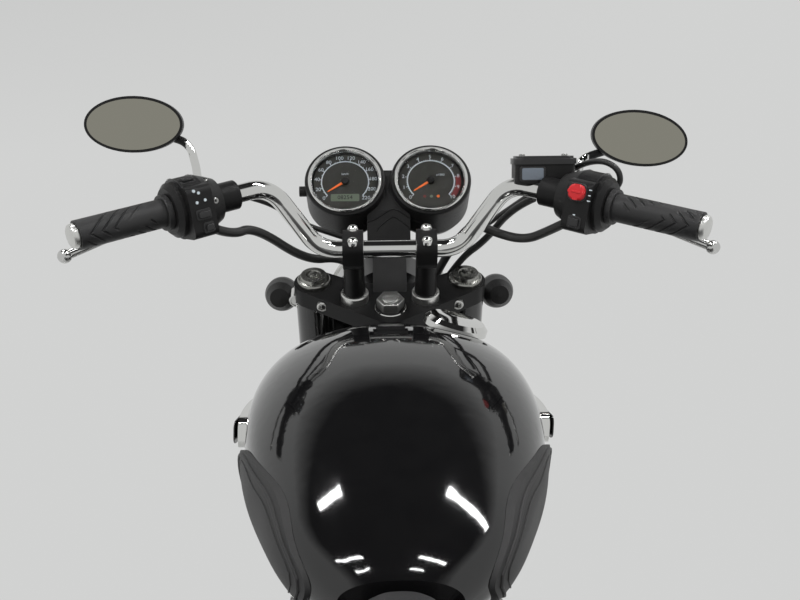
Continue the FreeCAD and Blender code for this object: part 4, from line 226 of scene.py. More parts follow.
@dataclass(frozen=True)
class Finish:
    """A surface finish, built once as a node material."""

    name: str
    slot: Slot
    colour: Point
    roughness: float
    metallic: float = 0.0
    coat: float = 0.0
    coat_roughness: float = 0.02
    specular: float = 0.5
    grain_scale: float = 900.0
    grain_depth: float = 0.0002
    grain_strength: float = 0.6
    smear: float = 0.08
    dust: float = 0.05
    dust_colour: Point = (0.3, 0.29, 0.27)
    transmission: float = 0.0
    ior: float = 1.5
    glow: float = 0.0

    def material(self) -> bpy.types.Material:
        """Returns the finish as a material, building it at the first call."""
        found = bpy.data.materials.get(self.name)
        if found is not None:
            return found
        made = bpy.data.materials.new(self.name)
        made.use_nodes = True
        shader = made.node_tree.nodes["Principled BSDF"]
        values = {"Metallic": self.metallic, "Coat Weight": self.coat, "Coat Roughness": self.coat_roughness,
                  "Specular IOR Level": self.specular, "Transmission Weight": self.transmission,
                  "IOR": self.ior}
        if self.glow:
            values["Emission Color"] = (*self.colour, 1)
            values["Emission Strength"] = self.glow
        for name, value in values.items():
            shader.inputs[name].default_value = value
        self.dress(made.node_tree, shader)
        made.diffuse_color = (*self.colour, 1)
        return made

    def dress(self, tree: bpy.types.NodeTree, shader: bpy.types.Node) -> None:
        """Feeds the shader's colour, roughness and normal.

        Args:
            tree: The material's node tree.
            shader: Its Principled BSDF.
        """
        marks = add_node(tree, "ShaderNodeGroup", {
            "Colour": (*self.colour, 1), "Dust Colour": (*self.dust_colour, 1), "Dust": self.dust,
            "Roughness": self.roughness, "Smear": self.smear}, node_tree=handling_group())
        grain = add_node(tree, "ShaderNodeGroup", {"Grain Scale": self.grain_scale},
                         node_tree=surface_grain_group())
        bump = add_node(tree, "ShaderNodeBump",
                        {"Distance": self.grain_depth, "Strength": self.grain_strength})
        wire(tree, (marks, "Colour", shader, "Base Color"), (marks, "Roughness", shader, "Roughness"),
             (grain, "Height", bump, "Height"), (bump, "Normal", shader, "Normal"))


@dataclass(frozen=True)
class HideFinish(Finish):
    """Grained vinyl or leather: rounded cells with fine creases between them."""

    cell_scale: float = 420.0
    crease_width: float = 0.12
    crease_depth: float = 0.0003
    crease_strength: float = 0.5

    def dress(self, tree: bpy.types.NodeTree, shader: bpy.types.Node) -> None:
        """Adds a cell pattern to the plain grain.

        Args:
            tree: The material's node tree.
            shader: Its Principled BSDF.
        """
        super().dress(tree, shader)
        grain = shader.inputs["Normal"].links[0].from_node
        place = add_node(tree, "ShaderNodeTexCoord")
        cells = add_node(tree, "ShaderNodeTexVoronoi", {"Scale": self.cell_scale}, feature="DISTANCE_TO_EDGE")
        soften = add_node(tree, "ShaderNodeMapRange", {"From Max": self.crease_width})
        creases = add_node(tree, "ShaderNodeBump",
                           {"Distance": self.crease_depth, "Strength": self.crease_strength})
        wire(tree, (place, "Object", cells, "Vector"), (cells, "Distance", soften, "Value"),
             (soften, "Result", creases, "Height"), (grain, "Normal", creases, "Normal"),
             (creases, "Normal", shader, "Normal"))


LACQUER = Finish("gloss_black_lacquer", Slot.GLOSS_BLACK, (0.0035, 0.0035, 0.004), 0.07, coat=0.6,
                 grain_scale=260.0, grain_depth=0.00002, smear=0.05, dust=0.012)
SATIN_BLACK = Finish("satin_black_coat", Slot.SATIN_BLACK, (0.005, 0.005, 0.0055), 0.38, specular=0.2,
                     smear=0.2, grain_scale=1400.0, grain_depth=0.0002, dust=0.03)
CHROME = Finish("bright_chrome", Slot.CHROME, (0.74, 0.74, 0.725), 0.05, metallic=1.0, smear=0.08,
                grain_scale=300.0, grain_depth=0.00001, dust=0.02)
POLISHED = Finish("polished_alloy_face", Slot.POLISHED, (0.66, 0.66, 0.65), 0.2, metallic=1.0, smear=0.2,
                  grain_scale=900.0, grain_depth=0.00005, dust=0.06)
CAST = Finish("cast_alloy_face", Slot.CAST, (0.36, 0.36, 0.355), 0.48, metallic=1.0, smear=0.25,
              grain_scale=1100.0, grain_depth=0.0004, dust=0.15, dust_colour=(0.12, 0.11, 0.1))
STEEL = Finish("plated_steel", Slot.STEEL, (0.45, 0.45, 0.44), 0.3, metallic=1.0, smear=0.25, dust=0.08)
TYRE_RUBBER = Finish("tyre_rubber_face", Slot.TYRE, (0.016, 0.016, 0.0165), 0.72, specular=0.35, smear=0.2,
                     grain_scale=700.0, grain_depth=0.0005, dust=0.12, dust_colour=(0.12, 0.11, 0.1))
GRIP_RUBBER = Finish("grip_rubber_face", Slot.GRIP, (0.014, 0.014, 0.015), 0.46, specular=0.45, smear=0.2,
                     grain_scale=1300.0, grain_depth=0.0003, dust=0.05)
PAD_RUBBER = Finish("pad_rubber_face", Slot.GRIP, (0.02, 0.02, 0.021), 0.55, specular=0.4, smear=0.15,
                    grain_scale=1500.0, grain_depth=0.0004, dust=0.06)
VINYL = HideFinish("seat_vinyl_face", Slot.SEAT, (0.018, 0.018, 0.02), 0.5, specular=0.32, smear=0.15,
                   grain_scale=600.0, dust=0.08)
PLASTIC = Finish("black_plastic_face", Slot.PLASTIC, (0.006, 0.006, 0.0065), 0.36, specular=0.22, smear=0.15,
                 grain_scale=1900.0, grain_depth=0.0003, dust=0.04)
MIRROR = Finish("mirror_silver", Slot.MIRROR, (0.335, 0.325, 0.275), 0.015, metallic=1.0, smear=0.01,
                grain_depth=0.0, dust=0.01)
GLASS = Finish("clear_glass", Slot.LENS, (1.0, 1.0, 1.0), 0.01, transmission=1.0, ior=1.45, smear=0.01,
               grain_depth=0.0, dust=0.0)
RED_PLASTIC = Finish("red_switch_plastic", Slot.LAMP, (0.62, 0.012, 0.018), 0.3, smear=0.1, dust=0.03)
RED_LENS = Finish("red_lamp_lens", Slot.LAMP, (0.42, 0.008, 0.008), 0.08, coat=0.5, smear=0.03, dust=0.02)
AMBER_LENS = Finish("amber_lamp_lens", Slot.LAMP, (0.72, 0.2, 0.01), 0.08, coat=0.5, smear=0.03, dust=0.02)
BRUSHED = Finish("brushed_alloy", Slot.POLISHED, (0.74, 0.74, 0.72), 0.34, metallic=1.0, smear=0.15,
                 grain_scale=500.0, grain_depth=0.00006, dust=0.05)
DULL_ALLOY = Finish("dull_cap_alloy", Slot.POLISHED, (0.34, 0.34, 0.32), 0.26, metallic=1.0, smear=0.3,
                    grain_scale=420.0, grain_depth=0.0002, dust=0.08)
CABLE = Finish("cable_sheath", Slot.GRIP, (0.012, 0.012, 0.012), 0.42, smear=0.15, grain_depth=0.0001,
               dust=0.05)
SWITCH_BLACK = Finish("switch_moulding", Slot.PLASTIC, (0.012, 0.012, 0.013), 0.3, smear=0.12,
                      grain_scale=2200.0, grain_depth=0.0002, dust=0.03)
CHAIN_STEEL = Finish("oiled_chain_steel", Slot.STEEL, (0.2, 0.19, 0.17), 0.36, metallic=1.0, smear=0.3,
                     grain_scale=700.0, dust=0.2, dust_colour=(0.04, 0.035, 0.03))
DIAL_FACE = Finish("dial_face", Slot.PLASTIC, (0.024, 0.025, 0.02), 0.55, smear=0.05, grain_scale=2500.0,
                   grain_depth=0.00005, dust=0.02)
DIAL_MARK = Finish("dial_mark", Slot.LAMP, (0.66, 0.74, 0.78), 0.5, smear=0.02, grain_depth=0.0, dust=0.01)
DIAL_RED = Finish("dial_red_zone", Slot.LAMP, (0.2, 0.012, 0.014), 0.5, smear=0.02, grain_depth=0.0,
                  dust=0.01)
DIAL_WINDOW = Finish("dial_window", Slot.LENS, (0.16, 0.2, 0.145), 0.3, smear=0.02, grain_depth=0.0,
                     dust=0.01)
# The needle's orange glows faintly though no lamp lights it: painted glow. The engine dial's third lamp takes
# the same finish and the same painted glow.
NEEDLE_PAINTED_GLOW = Finish("needle_orange", Slot.LAMP, (0.95, 0.2, 0.03), 0.4, glow=0.12, smear=0.02, grain_depth=0.0,
                dust=0.01)
WINDOW = Finish("fluid_window", Slot.LENS, (0.16, 0.19, 0.23), 0.12, coat=0.4, smear=0.03, dust=0.02)

NODES_BY_FINISH: tuple[tuple[Finish, str], ...] = (
    (SATIN_BLACK, "frame swingarm rear_dampers intakes footrests rear_caliper top_yoke lower_yoke "
                  "bar_clamps front_caliper centre_stand side_stand"),
    (STEEL, "rear_axle chain front_axle front_disc rear_disc rear_sprocket"),
    (CHROME, "rear_springs exhausts tank_badges filler_cap chain_guard fork_tubes handlebar "
             "instrument_bezels front_wheel_rim rear_wheel_rim"),
    (CAST, "crankcase cylinder_block cylinder_head"),
    (POLISHED, "cam_cover engine_covers foot_controls fork_sliders hand_levers"),
    (LACQUER, "tank side_panels rear_mudguard headlamp_brackets headlamp_shell front_mudguard"),
    (PAD_RUBBER, "knee_pads"),
    (VINYL, "seat"),
    (PLASTIC, "rear_lamps switchgear brake_reservoir mirrors instrument_cups front_indicators"),
    (GRIP_RUBBER, "grips control_cables"),
    (MIRROR, "mirror_glasses"),
    (GLASS, "headlamp_lens"),
    (TYRE_RUBBER, "front_tyre rear_tyre"))


@dataclass(frozen=True)
class Panel:
    """One soft lamp: its name, place, the point that it faces, its width and height, and its watts."""

    name: str
    at: Point
    aim: Point
    size: Flat
    power: float


@dataclass
class Studio:
    """Pale room, soft lamps and the camera of the photograph.

    Attributes:
        dim_across: Where the wall's dimming starts and is full, across the view.
        tubes: The ceiling tubes, each as the X and Y of its start, those of its end, and its width.
    """

    camera_at: Point = (-0.0117, -0.7961, 1.1633)
    yaw_deg: float = 1.16
    pitch_deg: float = -8.97
    roll_deg: float = -0.68
    focal_px: float = 946.4
    wall_colour: Point = (0.64, 0.645, 0.64)
    ceiling_shade: float = 0.02
    floor_half: float = 9.0
    floor_sides: int = 64
    floor_roughness: float = 0.8
    fade_from: float = 0.5
    fade_to: float = 1.5
    room_fill: float = 0.42
    wall_dim: float = 0.09
    dim_across: Flat = (0.3, -0.45)
    dim_height: float = 0.16
    wall_top: float = 0.70
    ceiling_from: float = 0.82
    panels: tuple[Panel, ...] = (
        Panel("key_panel", (-1.6, -1.2, 3.2), (0.0, 0.2, 0.7), (1.8, 1.2), 34.0),
        Panel("fill_panel", (2.4, 0.6, 2.6), (0.0, 0.2, 0.6), (1.6, 1.6), 26.0),
        Panel("front_panel", (0.4, 3.4, 2.4), (0.0, 0.2, 0.6), (2.0, 1.2), 30.0))
    tube_height: float = 2.75
    tube_power: float = 95.0
    tubes: tuple[tuple[float, float, float, float, float], ...] = (
        (-0.997, 0.443, -0.545, 0.557, 0.13), (0.505, 0.515, 1.70, 0.02, 0.13),
        (-1.337, -0.832, -0.523, -0.594, 0.07), (0.258, -0.572, 0.865, -0.836, 0.07),
        (-0.87, -1.015, -0.447, -0.897, 0.05), (0.158, -0.892, 0.383, -0.984, 0.05))

    def build(self) -> None:
        """Makes the room, the lamps and the camera."""
        self.place_camera()
        self.light_world()
        self.lay_floor()
        self.hang_lamps()

    def place_camera(self) -> None:
        """Sets the camera from its yaw, pitch and roll."""
        yaw, pitch, roll = (math.radians(v) for v in (self.yaw_deg, self.pitch_deg, self.roll_deg))
        ahead = Vector((math.sin(yaw) * math.cos(pitch), math.cos(yaw) * math.cos(pitch), math.sin(pitch)))
        right = Vector((math.cos(yaw), -math.sin(yaw), 0))
        upward = right.cross(ahead)
        tilted_right = right * math.cos(roll) + upward * math.sin(roll)
        tilted_up = upward * math.cos(roll) - right * math.sin(roll)
        turn = Matrix((tilted_right, tilted_up, -ahead)).transposed()
        lens = bpy.data.cameras.new("photo_camera")
        lens.sensor_width = SENSOR_MM
        lens.lens = self.focal_px / PHOTO_WIDTH_PX * SENSOR_MM
        camera = bpy.data.objects.new("photo_camera", lens)
        camera.matrix_world = Matrix.Translation(self.camera_at) @ turn.to_4x4()
        bpy.context.scene.collection.objects.link(camera)
        bpy.context.scene.camera = camera

    def light_world(self) -> None:
        """Pale walls where the camera and reflections look level, a darker ceiling overhead."""
        world = bpy.data.worlds.new("studio_world")
        bpy.context.scene.world = world
        world.use_nodes = True
        tree = world.node_tree
        tree.nodes.clear()
        wall = (*self.wall_colour, 1)
        ceiling = (self.ceiling_shade, self.ceiling_shade, self.ceiling_shade, 1)
        place = add_node(tree, "ShaderNodeTexCoord")
        split = add_node(tree, "ShaderNodeSeparateXYZ")
        across = add_node(tree, "ShaderNodeMapRange", {
            "From Min": self.dim_across[0], "From Max": self.dim_across[1], "To Max": self.wall_dim})
        height = add_node(tree, "ShaderNodeMapRange", {"From Max": self.dim_height})
        dimming = add_node(tree, "ShaderNodeMath", operation="MULTIPLY")
        shade = add_node(tree, "ShaderNodeMath", {0: 1.0}, operation="SUBTRACT")
        seen = add_node(tree, "ShaderNodeBackground", {"Color": wall})
        wire(tree, (place, "Generated", split, "Vector"), (split, "X", across, "Value"),
             (split, "Z", height, "Value"), (across, "Result", dimming, 0), (height, "Result", dimming, 1),
             (dimming, "Value", shade, 1), (shade, "Value", seen, "Strength"))
        ramp = add_node(tree, "ShaderNodeMapRange",
                        {"From Min": self.wall_top, "From Max": self.ceiling_from})
        blend = add_node(tree, "ShaderNodeMix", {6: wall, 7: ceiling}, data_type="RGBA")
        reflected = add_node(tree, "ShaderNodeBackground")
        wire(tree, (split, "Z", ramp, "Value"), (ramp, "Result", blend, "Factor"),
             (blend, 2, reflected, "Color"))
        fill = add_node(tree, "ShaderNodeBackground", {"Color": WHITE, "Strength": self.room_fill})
        path = add_node(tree, "ShaderNodeLightPath")
        shiny = add_node(tree, "ShaderNodeMixShader")
        direct = add_node(tree, "ShaderNodeMixShader")
        out = add_node(tree, "ShaderNodeOutputWorld")
        wire(tree, (path, "Is Glossy Ray", shiny, "Fac"), (fill, "Background", shiny, 1),
             (reflected, "Background", shiny, 2), (path, "Is Camera Ray", direct, "Fac"),
             (shiny, "Shader", direct, 1), (seen, "Background", direct, 2),
             (direct, "Shader", out, "Surface"))

    def lay_floor(self) -> None:
        """Lays a round pale floor that takes the wall's colour away from the object."""
        mesh = bpy.data.meshes.new("studio_floor")
        corners = [(x, y, 0) for x, y in round_outline(self.floor_half, self.floor_sides)]
        mesh.from_pydata(corners, [], [tuple(range(self.floor_sides))])
        floor = bpy.data.objects.new("studio_floor", mesh)
        bpy.context.scene.collection.objects.link(floor)
        paint = bpy.data.materials.new("studio_floor_paint")
        paint.use_nodes = True
        tree = paint.node_tree
        colour = (*self.wall_colour, 1)
        shader = tree.nodes["Principled BSDF"]
        shader.inputs["Base Color"].default_value = colour
        shader.inputs["Roughness"].default_value = self.floor_roughness
        place = add_node(tree, "ShaderNodeTexCoord")
        away = add_node(tree, "ShaderNodeVectorMath", operation="LENGTH")
        fade = add_node(tree, "ShaderNodeMapRange", {"From Min": self.fade_from, "From Max": self.fade_to},
                        interpolation_type="SMOOTHSTEP")
        wall = add_node(tree, "ShaderNodeEmission", {"Color": colour})
        mix = add_node(tree, "ShaderNodeMixShader")
        wire(tree, (place, "Object", away, 0), (away, "Value", fade, "Value"), (fade, "Result", mix, "Fac"),
             (shader, "BSDF", mix, 1), (wall, "Emission", mix, 2),
             (mix, "Shader", tree.nodes["Material Output"], "Surface"))
        mesh.materials.append(paint)

    def hang_lamps(self) -> None:
        """Hangs soft panels over and beside the bike, and the ceiling tubes that mark the tank."""
        for panel in self.panels:
            self.hang(panel)
        for number, (x_start, y_start, x_end, y_end, width) in enumerate(self.tubes):
            start = Vector((x_start, y_start, self.tube_height))
            end = Vector((x_end, y_end, self.tube_height))
            length = (end - start).length
            tube = self.hang(Panel(f"ceiling_tube_{number}", (0, 0, 0), (0, 0, -1), (length, width),
                                   self.tube_power * length * width), shows=True)
            turn = math.atan2(y_end - y_start, x_end - x_start)
            tube.matrix_world = Matrix.Translation((start + end) / 2) @ Matrix.Rotation(turn, 4, "Z")

    def hang(self, panel: Panel, shows: bool = False) -> bpy.types.Object:
        """Hangs one rectangular lamp.

        Args:
            panel: The lamp's sizes.
            shows: Whether glossy surfaces reflect it.

        Returns:
            The lamp.
        """
        light = bpy.data.lights.new(panel.name, "AREA")
        light.shape = "RECTANGLE"
        light.size, light.size_y = panel.size
        light.energy = panel.power
        lamp = bpy.data.objects.new(panel.name, light)
        lamp.visible_glossy = shows
        look = Vector(panel.aim) - Vector(panel.at)
        lamp.matrix_world = Matrix.Translation(panel.at) @ look.to_track_quat("-Z", "Y").to_matrix().to_4x4()
        bpy.context.scene.collection.objects.link(lamp)
        return lamp


def spot(x: float, y: float, z: float) -> Vector:
    """Returns a place given in the model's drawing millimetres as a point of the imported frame."""
    return Vector((x, y - MIDDLE_Y_MM, z)) * MM


def steer_spot(x: float, n: float, s: float) -> Vector:
    """Returns a place given across, ahead of and up the steering axis, in millimetres."""
    ahead = Vector((0, math.cos(RAKE), math.sin(RAKE)))
    upward = Vector((0, -math.sin(RAKE), math.cos(RAKE)))
    return spot(0, *STEER_FOOT_MM) + (Vector((x, 0, 0)) + ahead * n + upward * s) * MM


def facing(origin: Vector, normal: Vector, upward: Vector = UP) -> Matrix:
    """Returns a placement whose Z is the normal and whose Y leans to the upward direction."""
    z_way = normal.normalized()
    x_way = upward.cross(z_way).normalized()
    y_way = z_way.cross(x_way)
    return Matrix.Translation(origin) @ Matrix((x_way, y_way, z_way)).transposed().to_4x4()


def shifted(place: Matrix, x: float, y: float, z: float = 0.0) -> Matrix:
    """Returns a placement moved along its own axes, in millimetres."""
    return place @ Matrix.Translation((x * MM, y * MM, z * MM))


def node_box(name: str) -> tuple[Vector, Vector, Vector]:
    """Returns the low corner, the middle and the high corner of a CAD node's box."""
    low, high = (Vector(corner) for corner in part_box(name))
    return low, (low + high) / 2, high


def skin(node: bpy.types.Object) -> BVHTree:
    """Returns a search tree of a CAD node's faces."""
    mesh = node.data
    return BVHTree.FromPolygons([node.matrix_world @ corner.co for corner in mesh.vertices],
                                [tuple(face.vertices) for face in mesh.polygons])


def rounded_outline(width: float, height: float, radius: float, steps: int = 4) -> list[Flat]:
    """Returns the corners of a rectangle with rounded corners, centred on the origin."""
    corners = []
    for quarter, (sx, sy) in enumerate(((1, 1), (-1, 1), (-1, -1), (1, -1))):
        for step in range(steps + 1):
            turn = math.pi / 2 * (quarter + step / steps)
            corners.append((sx * (width / 2 - radius) + radius * math.cos(turn),
                            sy * (height / 2 - radius) + radius * math.sin(turn)))
    return corners


def round_outline(radius: float, sides: int) -> list[Flat]:
    """Returns the corners of a regular outline."""
    return [(radius * math.cos(FULL_TURN * k / sides), radius * math.sin(FULL_TURN * k / sides))
            for k in range(sides)]


def skirt(part: bmesh.types.BMesh, under: Sequence[bmesh.types.BMVert],
          over: Sequence[bmesh.types.BMVert]) -> None:
    """Joins two rims of as many points with a band of faces."""
    for k in range(len(under)):
        after = (k + 1) % len(under)
        part.faces.new((under[k], under[after], over[after], over[k]))


def add_stud(part: bmesh.types.BMesh, foot_r: float, top_r: float, length: float, sides: int,
             at: Point) -> None:
    """Adds a short round bar along X.

    Args:
        part: The mesh that it joins.
        foot_r: Its radius at the low end.
        top_r: Its radius at the high end.
        length: Its length.
        sides: How many facets go round.
        at: The place of its middle, in millimetres as all the sizes.
    """
    made = bmesh.ops.create_cone(part, cap_ends=True, segments=sides, radius1=foot_r * MM, radius2=top_r * MM,
                                 depth=length * MM)
    bmesh.ops.rotate(part, verts=made["verts"], cent=(0, 0, 0), matrix=Matrix.Rotation(math.pi / 2, 3, "Y"))
    bmesh.ops.translate(part, verts=made["verts"], vec=[value * MM for value in at])


@dataclass
class Piece:
    """One visual piece, gathered from turned, extruded and swept forms before it rides a body.

    Sizes that its methods take are in millimetres, places are in metres.
    """

    name: str
    body: Body
    finishes: tuple[Finish, ...]
    shape: bmesh.types.BMesh = field(default_factory=bmesh.new)

    def take(self, part: bmesh.types.BMesh, finish: Finish, place: Matrix | None = None,
             mend: bool = True) -> None:
        """Adds one closed form.

        Args:
            part: The form, which is freed.
            finish: The finish that it takes, one of the piece's own.
            place: Its placement.
            mend: Whether doubles are merged and the faces turned outward.
        """
        if mend:
            bmesh.ops.remove_doubles(part, verts=part.verts, dist=1e-7)
            bmesh.ops.recalc_face_normals(part, faces=part.faces)
        if place is not None:
            part.transform(place)
        index = self.finishes.index(finish)
        for face in part.faces:
            face.material_index = index
        spare = bpy.data.meshes.new("spare")
        part.to_mesh(spare)
        part.free()
        self.shape.from_mesh(spare)
        bpy.data.meshes.remove(spare)

    def turned(self, profile: Sequence[Flat], place: Matrix, finish: Finish, sides: int = 48) -> None:
        """Adds a body of revolution.

        Args:
            profile: Its (radius, height) corners.
            place: The placement whose Z is the axis.
            finish: The finish.
            sides: How many facets go round.
        """
        part = bmesh.new()
        corners = [part.verts.new((radius * MM, 0, height * MM)) for radius, height in profile]
        edges = [part.edges.new(ends) for ends in zip(corners, corners[1:])]
        bmesh.ops.spin(part, geom=corners + edges, cent=(0, 0, 0), axis=(0, 0, 1), angle=FULL_TURN,
                       steps=sides, use_merge=True)
        self.take(part, finish, place)

    def slab(self, outline: Sequence[Flat], low: float, high: float, place: Matrix, finish: Finish,
             round_by: float = 0.0) -> None:
        """Adds a flat outline raised to a thickness, its upper rim rounded.

        Args:
            outline: Its corners.
            low: Height of its underside.
            high: Height of its top.
            place: The placement whose Z is the thickness.
            finish: The finish.
            round_by: Radius of the rim.
        """
        part = bmesh.new()
        under = [part.verts.new((x * MM, y * MM, low * MM)) for x, y in outline]
        over = [part.verts.new((x * MM, y * MM, high * MM)) for x, y in outline]
        part.faces.new(under[::-1])
        part.faces.new(over)
        skirt(part, under, over)
        if round_by:
            top = set(over)
            rim = [edge for edge in part.edges if edge.verts[0] in top and edge.verts[1] in top]
            bmesh.ops.bevel(part, geom=rim, offset=round_by * MM, segments=3, profile=0.5, affect="EDGES",
                            clamp_overlap=True)
        self.take(part, finish, place)

    def pipe(self, line: Sequence[Vector], radius: float, finish: Finish, sides: int = 10,
             closed: bool = False) -> None:
        """Adds a round bar along a line of points.

        Args:
            line: The points, in metres.
            radius: Its radius.
            finish: The finish.
            sides: How many facets go round.
            closed: Whether the line is a loop.
        """
        part = bmesh.new()
        count = len(line)
        normal = Vector((0.13, 0.31, 0.94))
        rings = []
        for k, point in enumerate(line):
            before = line[(k - 1) % count] if closed or k else line[0]
            after = line[(k + 1) % count] if closed or k < count - 1 else line[-1]
            tangent = (after - before).normalized()
            normal = (normal - tangent * normal.dot(tangent)).normalized()
            side = tangent.cross(normal)
            rings.append([part.verts.new(point + (normal * math.cos(FULL_TURN * j / sides)
                                                  + side * math.sin(FULL_TURN * j / sides)) * radius * MM)
                          for j in range(sides)])
        for here, there in zip(rings, rings[1:]):
            skirt(part, here, there)
        if closed:
            skirt(part, rings[-1], rings[0])
        else:
            part.faces.new(rings[0][::-1])
            part.faces.new(rings[-1])
        self.take(part, finish)

    def lettering(self, text: str, height: float, place: Matrix, finish: Finish) -> None:
        """Adds raised plain characters.

        Args:
            text: The characters.
            height: Their height.
            place: The placement of their middle, Z out of the face.
            finish: The finish.
        """
        words = bpy.data.curves.new("words", "FONT")
        words.body = text
        words.size = height * MM * LETTER_SIZE
        words.align_x = "CENTER"
        words.align_y = "CENTER"
        words.extrude = LETTER_RAISE
        words.resolution_u = 3
        holder = bpy.data.objects.new("words", words)
        made = bpy.data.meshes.new_from_object(holder)
        part = bmesh.new()
        part.from_mesh(made)
        bpy.data.objects.remove(holder)
        bpy.data.meshes.remove(made)
        self.take(part, finish, place)

    def settle(self, replaces: Sequence[str] = (), crease_deg: float = 32.0) -> None:
        """Makes the object and lets it ride its body.

        Args:
            replaces: CAD nodes that it stands for.
            crease_deg: Edges sharper than this stay sharp.
        """
        mesh = bpy.data.meshes.new(self.name)
        self.shape.to_mesh(mesh)
        self.shape.free()
        for finish in self.finishes:
            mesh.materials.append(finish.material())
        mesh.shade_smooth()
        mesh.set_sharp_from_angle(angle=math.radians(crease_deg))
        made = bpy.data.objects.new(self.name, mesh)
        bpy.context.scene.collection.objects.link(made)
        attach(made, self.body.value)
        if replaces:
            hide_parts(*replaces)
        LOG.info("built %s with %d faces", self.name, len(mesh.polygons))


@dataclass
class Clocks:
    """The two dials: rings, faces, figures, needles, glasses. The left one shows the speed.

    Attributes:
        steps: How many figures above zero the left and the right dial have.
        fine: How many scale lines a figure has.
        worth: What one figure counts.
        red_arc: Radius, width, start and sweep of the red zone.
        window: Width, height, corner radius and place of the left dial's window.
        lamps: Places across the right dial and finishes of its three lamps.
    """

    half_spacing: float = 57.5
    ahead: float = 162.2
    rise: float = 842.9
    tilt_deg: float = 33.0
    ring_inner: float = 43.4
    ring_outer: float = 50.0
    ring_sides: int = 96
    face_sides: int = 72
    face_depth: float = -2.6
    arc_r: float = 31.5
    arc_width: float = 1.5
    arc_steps: int = 60
    mark_high: float = 0.15
    figure_r: float = 37.6
    figure_h: float = 5.6
    start_deg: float = 222.0
    sweep_deg: float = 264.0
    needle_deg: float = 214.0
    steps: tuple[int, int] = (11, 10)
    fine: tuple[int, int] = (2, 5)
    worth: tuple[int, int] = (20, 1)
    red_arc: tuple[float, float, float, float] = (37.0, 7.0, 11.0, 51.0)
    window: tuple[float, float, float, float] = (38.0, 11.0, 1.6, -24.5)
    lamps: tuple[tuple[float, Finish], ...] = ((-9.0, DIAL_RED), (0.0, DIAL_WINDOW), (9.0, NEEDLE_PAINTED_GLOW))

    def build(self) -> None:
        """Builds rings, faces and glasses."""
        rings = Piece("clock_rings", Body.STEERING, (CHROME, PLASTIC))
        faces = Piece("clock_faces", Body.STEERING,
                      (DIAL_FACE, DIAL_MARK, NEEDLE_PAINTED_GLOW, DIAL_WINDOW, DIAL_RED, PLASTIC))
        panes = Piece("clock_glasses", Body.STEERING, (GLASS,))
        tilt = math.radians(self.tilt_deg)
        inner, outer, depth = self.ring_inner, self.ring_outer, self.face_depth
        for side in (-1, 1):
            place = facing(steer_spot(side * self.half_spacing, self.ahead, self.rise),
                           Vector((0, -math.cos(tilt), math.sin(tilt))))
            rings.turned(((inner + 0.6, -5.5), (inner + 0.6, 1.2), (inner + 1.2, 4.0), (inner + 2.4, 5.9),
                          (inner + 3.8, 6.8), (outer - 1.6, 6.2), (outer - 0.4, 4.4), (outer, 2.0),
                          (outer, -5.5), (inner + 0.6, -5.5)), place, CHROME, self.ring_sides)
            # The thin black plastic ring inside the chrome bezel stands for the bezel's shade on the dial's
            # rim: painted shade.
            rings.turned(((inner - 0.6, -5.4), (inner - 0.6, -1.0), (inner + 0.6, 0.9), (inner + 0.6, -5.4),
                          (inner - 0.6, -5.4)), place, PLASTIC, self.ring_sides)
            rings.turned(((outer + 0.1, -4.0), (outer + 0.1, 2.6), (outer + 1.6, 3.4), (outer + 3.2, 2.4),
                          (outer + 3.9, 0.2), (outer + 3.9, -4.0), (outer + 0.1, -4.0)), place, PLASTIC,
                         self.ring_sides)
            faces.turned(((0, -5.6), (inner - 0.7, -5.6), (inner - 0.7, depth), (0, depth)), place, DIAL_FACE,
                         self.face_sides)
            panes.turned(((0, -0.6), (inner + 0.4, -0.9), (inner + 0.4, 0.5), (0, 1.3)), place, GLASS,
                         self.face_sides)
            self.scale(faces, place, side)
            if side < 0:
                self.speed_marks(faces, place)
            else:
                self.engine_marks(faces, place)
            self.needle(faces, place)
        rings.settle(("instrument_bezels",))
        faces.settle()
        panes.settle()

    def scale(self, faces: Piece, place: Matrix, side: int) -> None:
        """Draws the scale and the figures of one dial.

        Args:
            faces: The piece that they join.
            place: The dial's placement.
            side: -1 for the speed dial, 1 for the engine dial.
        """
        dial = 0 if side < 0 else 1
        fine = self.fine[dial]
        count = self.steps[dial] * fine
        self.arc(faces, place, (self.arc_r, self.arc_width, self.start_deg, self.sweep_deg), DIAL_MARK)
        for k in range(count + 1):
            turn = math.radians(self.start_deg - self.sweep_deg * k / count)
            main = k % fine == 0
            self.tick(faces, place, turn, 3.2 if main else 1.8, 0.9 if main else 0.5)
            if main:
                middle = shifted(place, self.figure_r * math.cos(turn), self.figure_r * math.sin(turn),
                                 self.face_depth + 0.12)
                faces.lettering(str(k // fine * self.worth[dial]), self.figure_h, middle, DIAL_MARK)

    def speed_marks(self, faces: Piece, place: Matrix) -> None:
        """Draws the unit and the counter's window of the speed dial."""
        level = self.face_depth
        width, height, corner, rise = self.window
        faces.lettering("km/h", 3.6, shifted(place, 0, 12, level + 0.1), DIAL_MARK)
        low = shifted(place, 0, rise)
        faces.slab(rounded_outline(width, height, corner), level, level + 0.35, low, DIAL_WINDOW)
        faces.lettering("08254", 6.0, shifted(low, 0, 0, level + 0.45), PLASTIC)

    def engine_marks(self, faces: Piece, place: Matrix) -> None:
        """Draws the unit, the red zone and the lamps of the engine dial."""
        level = self.face_depth
        faces.lettering("x1000", 3.4, shifted(place, 13, 9, level + 0.1), DIAL_MARK)
        self.arc(faces, place, self.red_arc, DIAL_RED, 0.03)
        # One lamp takes the needle's finish with its faint painted glow.
        for across, finish in self.lamps:
            faces.slab(round_outline(2.1, 20), level, level + 0.3, shifted(place, across, -24), finish)

    def needle(self, faces: Piece, place: Matrix) -> None:
        """Lays the needle and its hub on one dial."""
        level = self.face_depth
        way = place @ Matrix.Rotation(math.radians(self.needle_deg), 4, "Z")
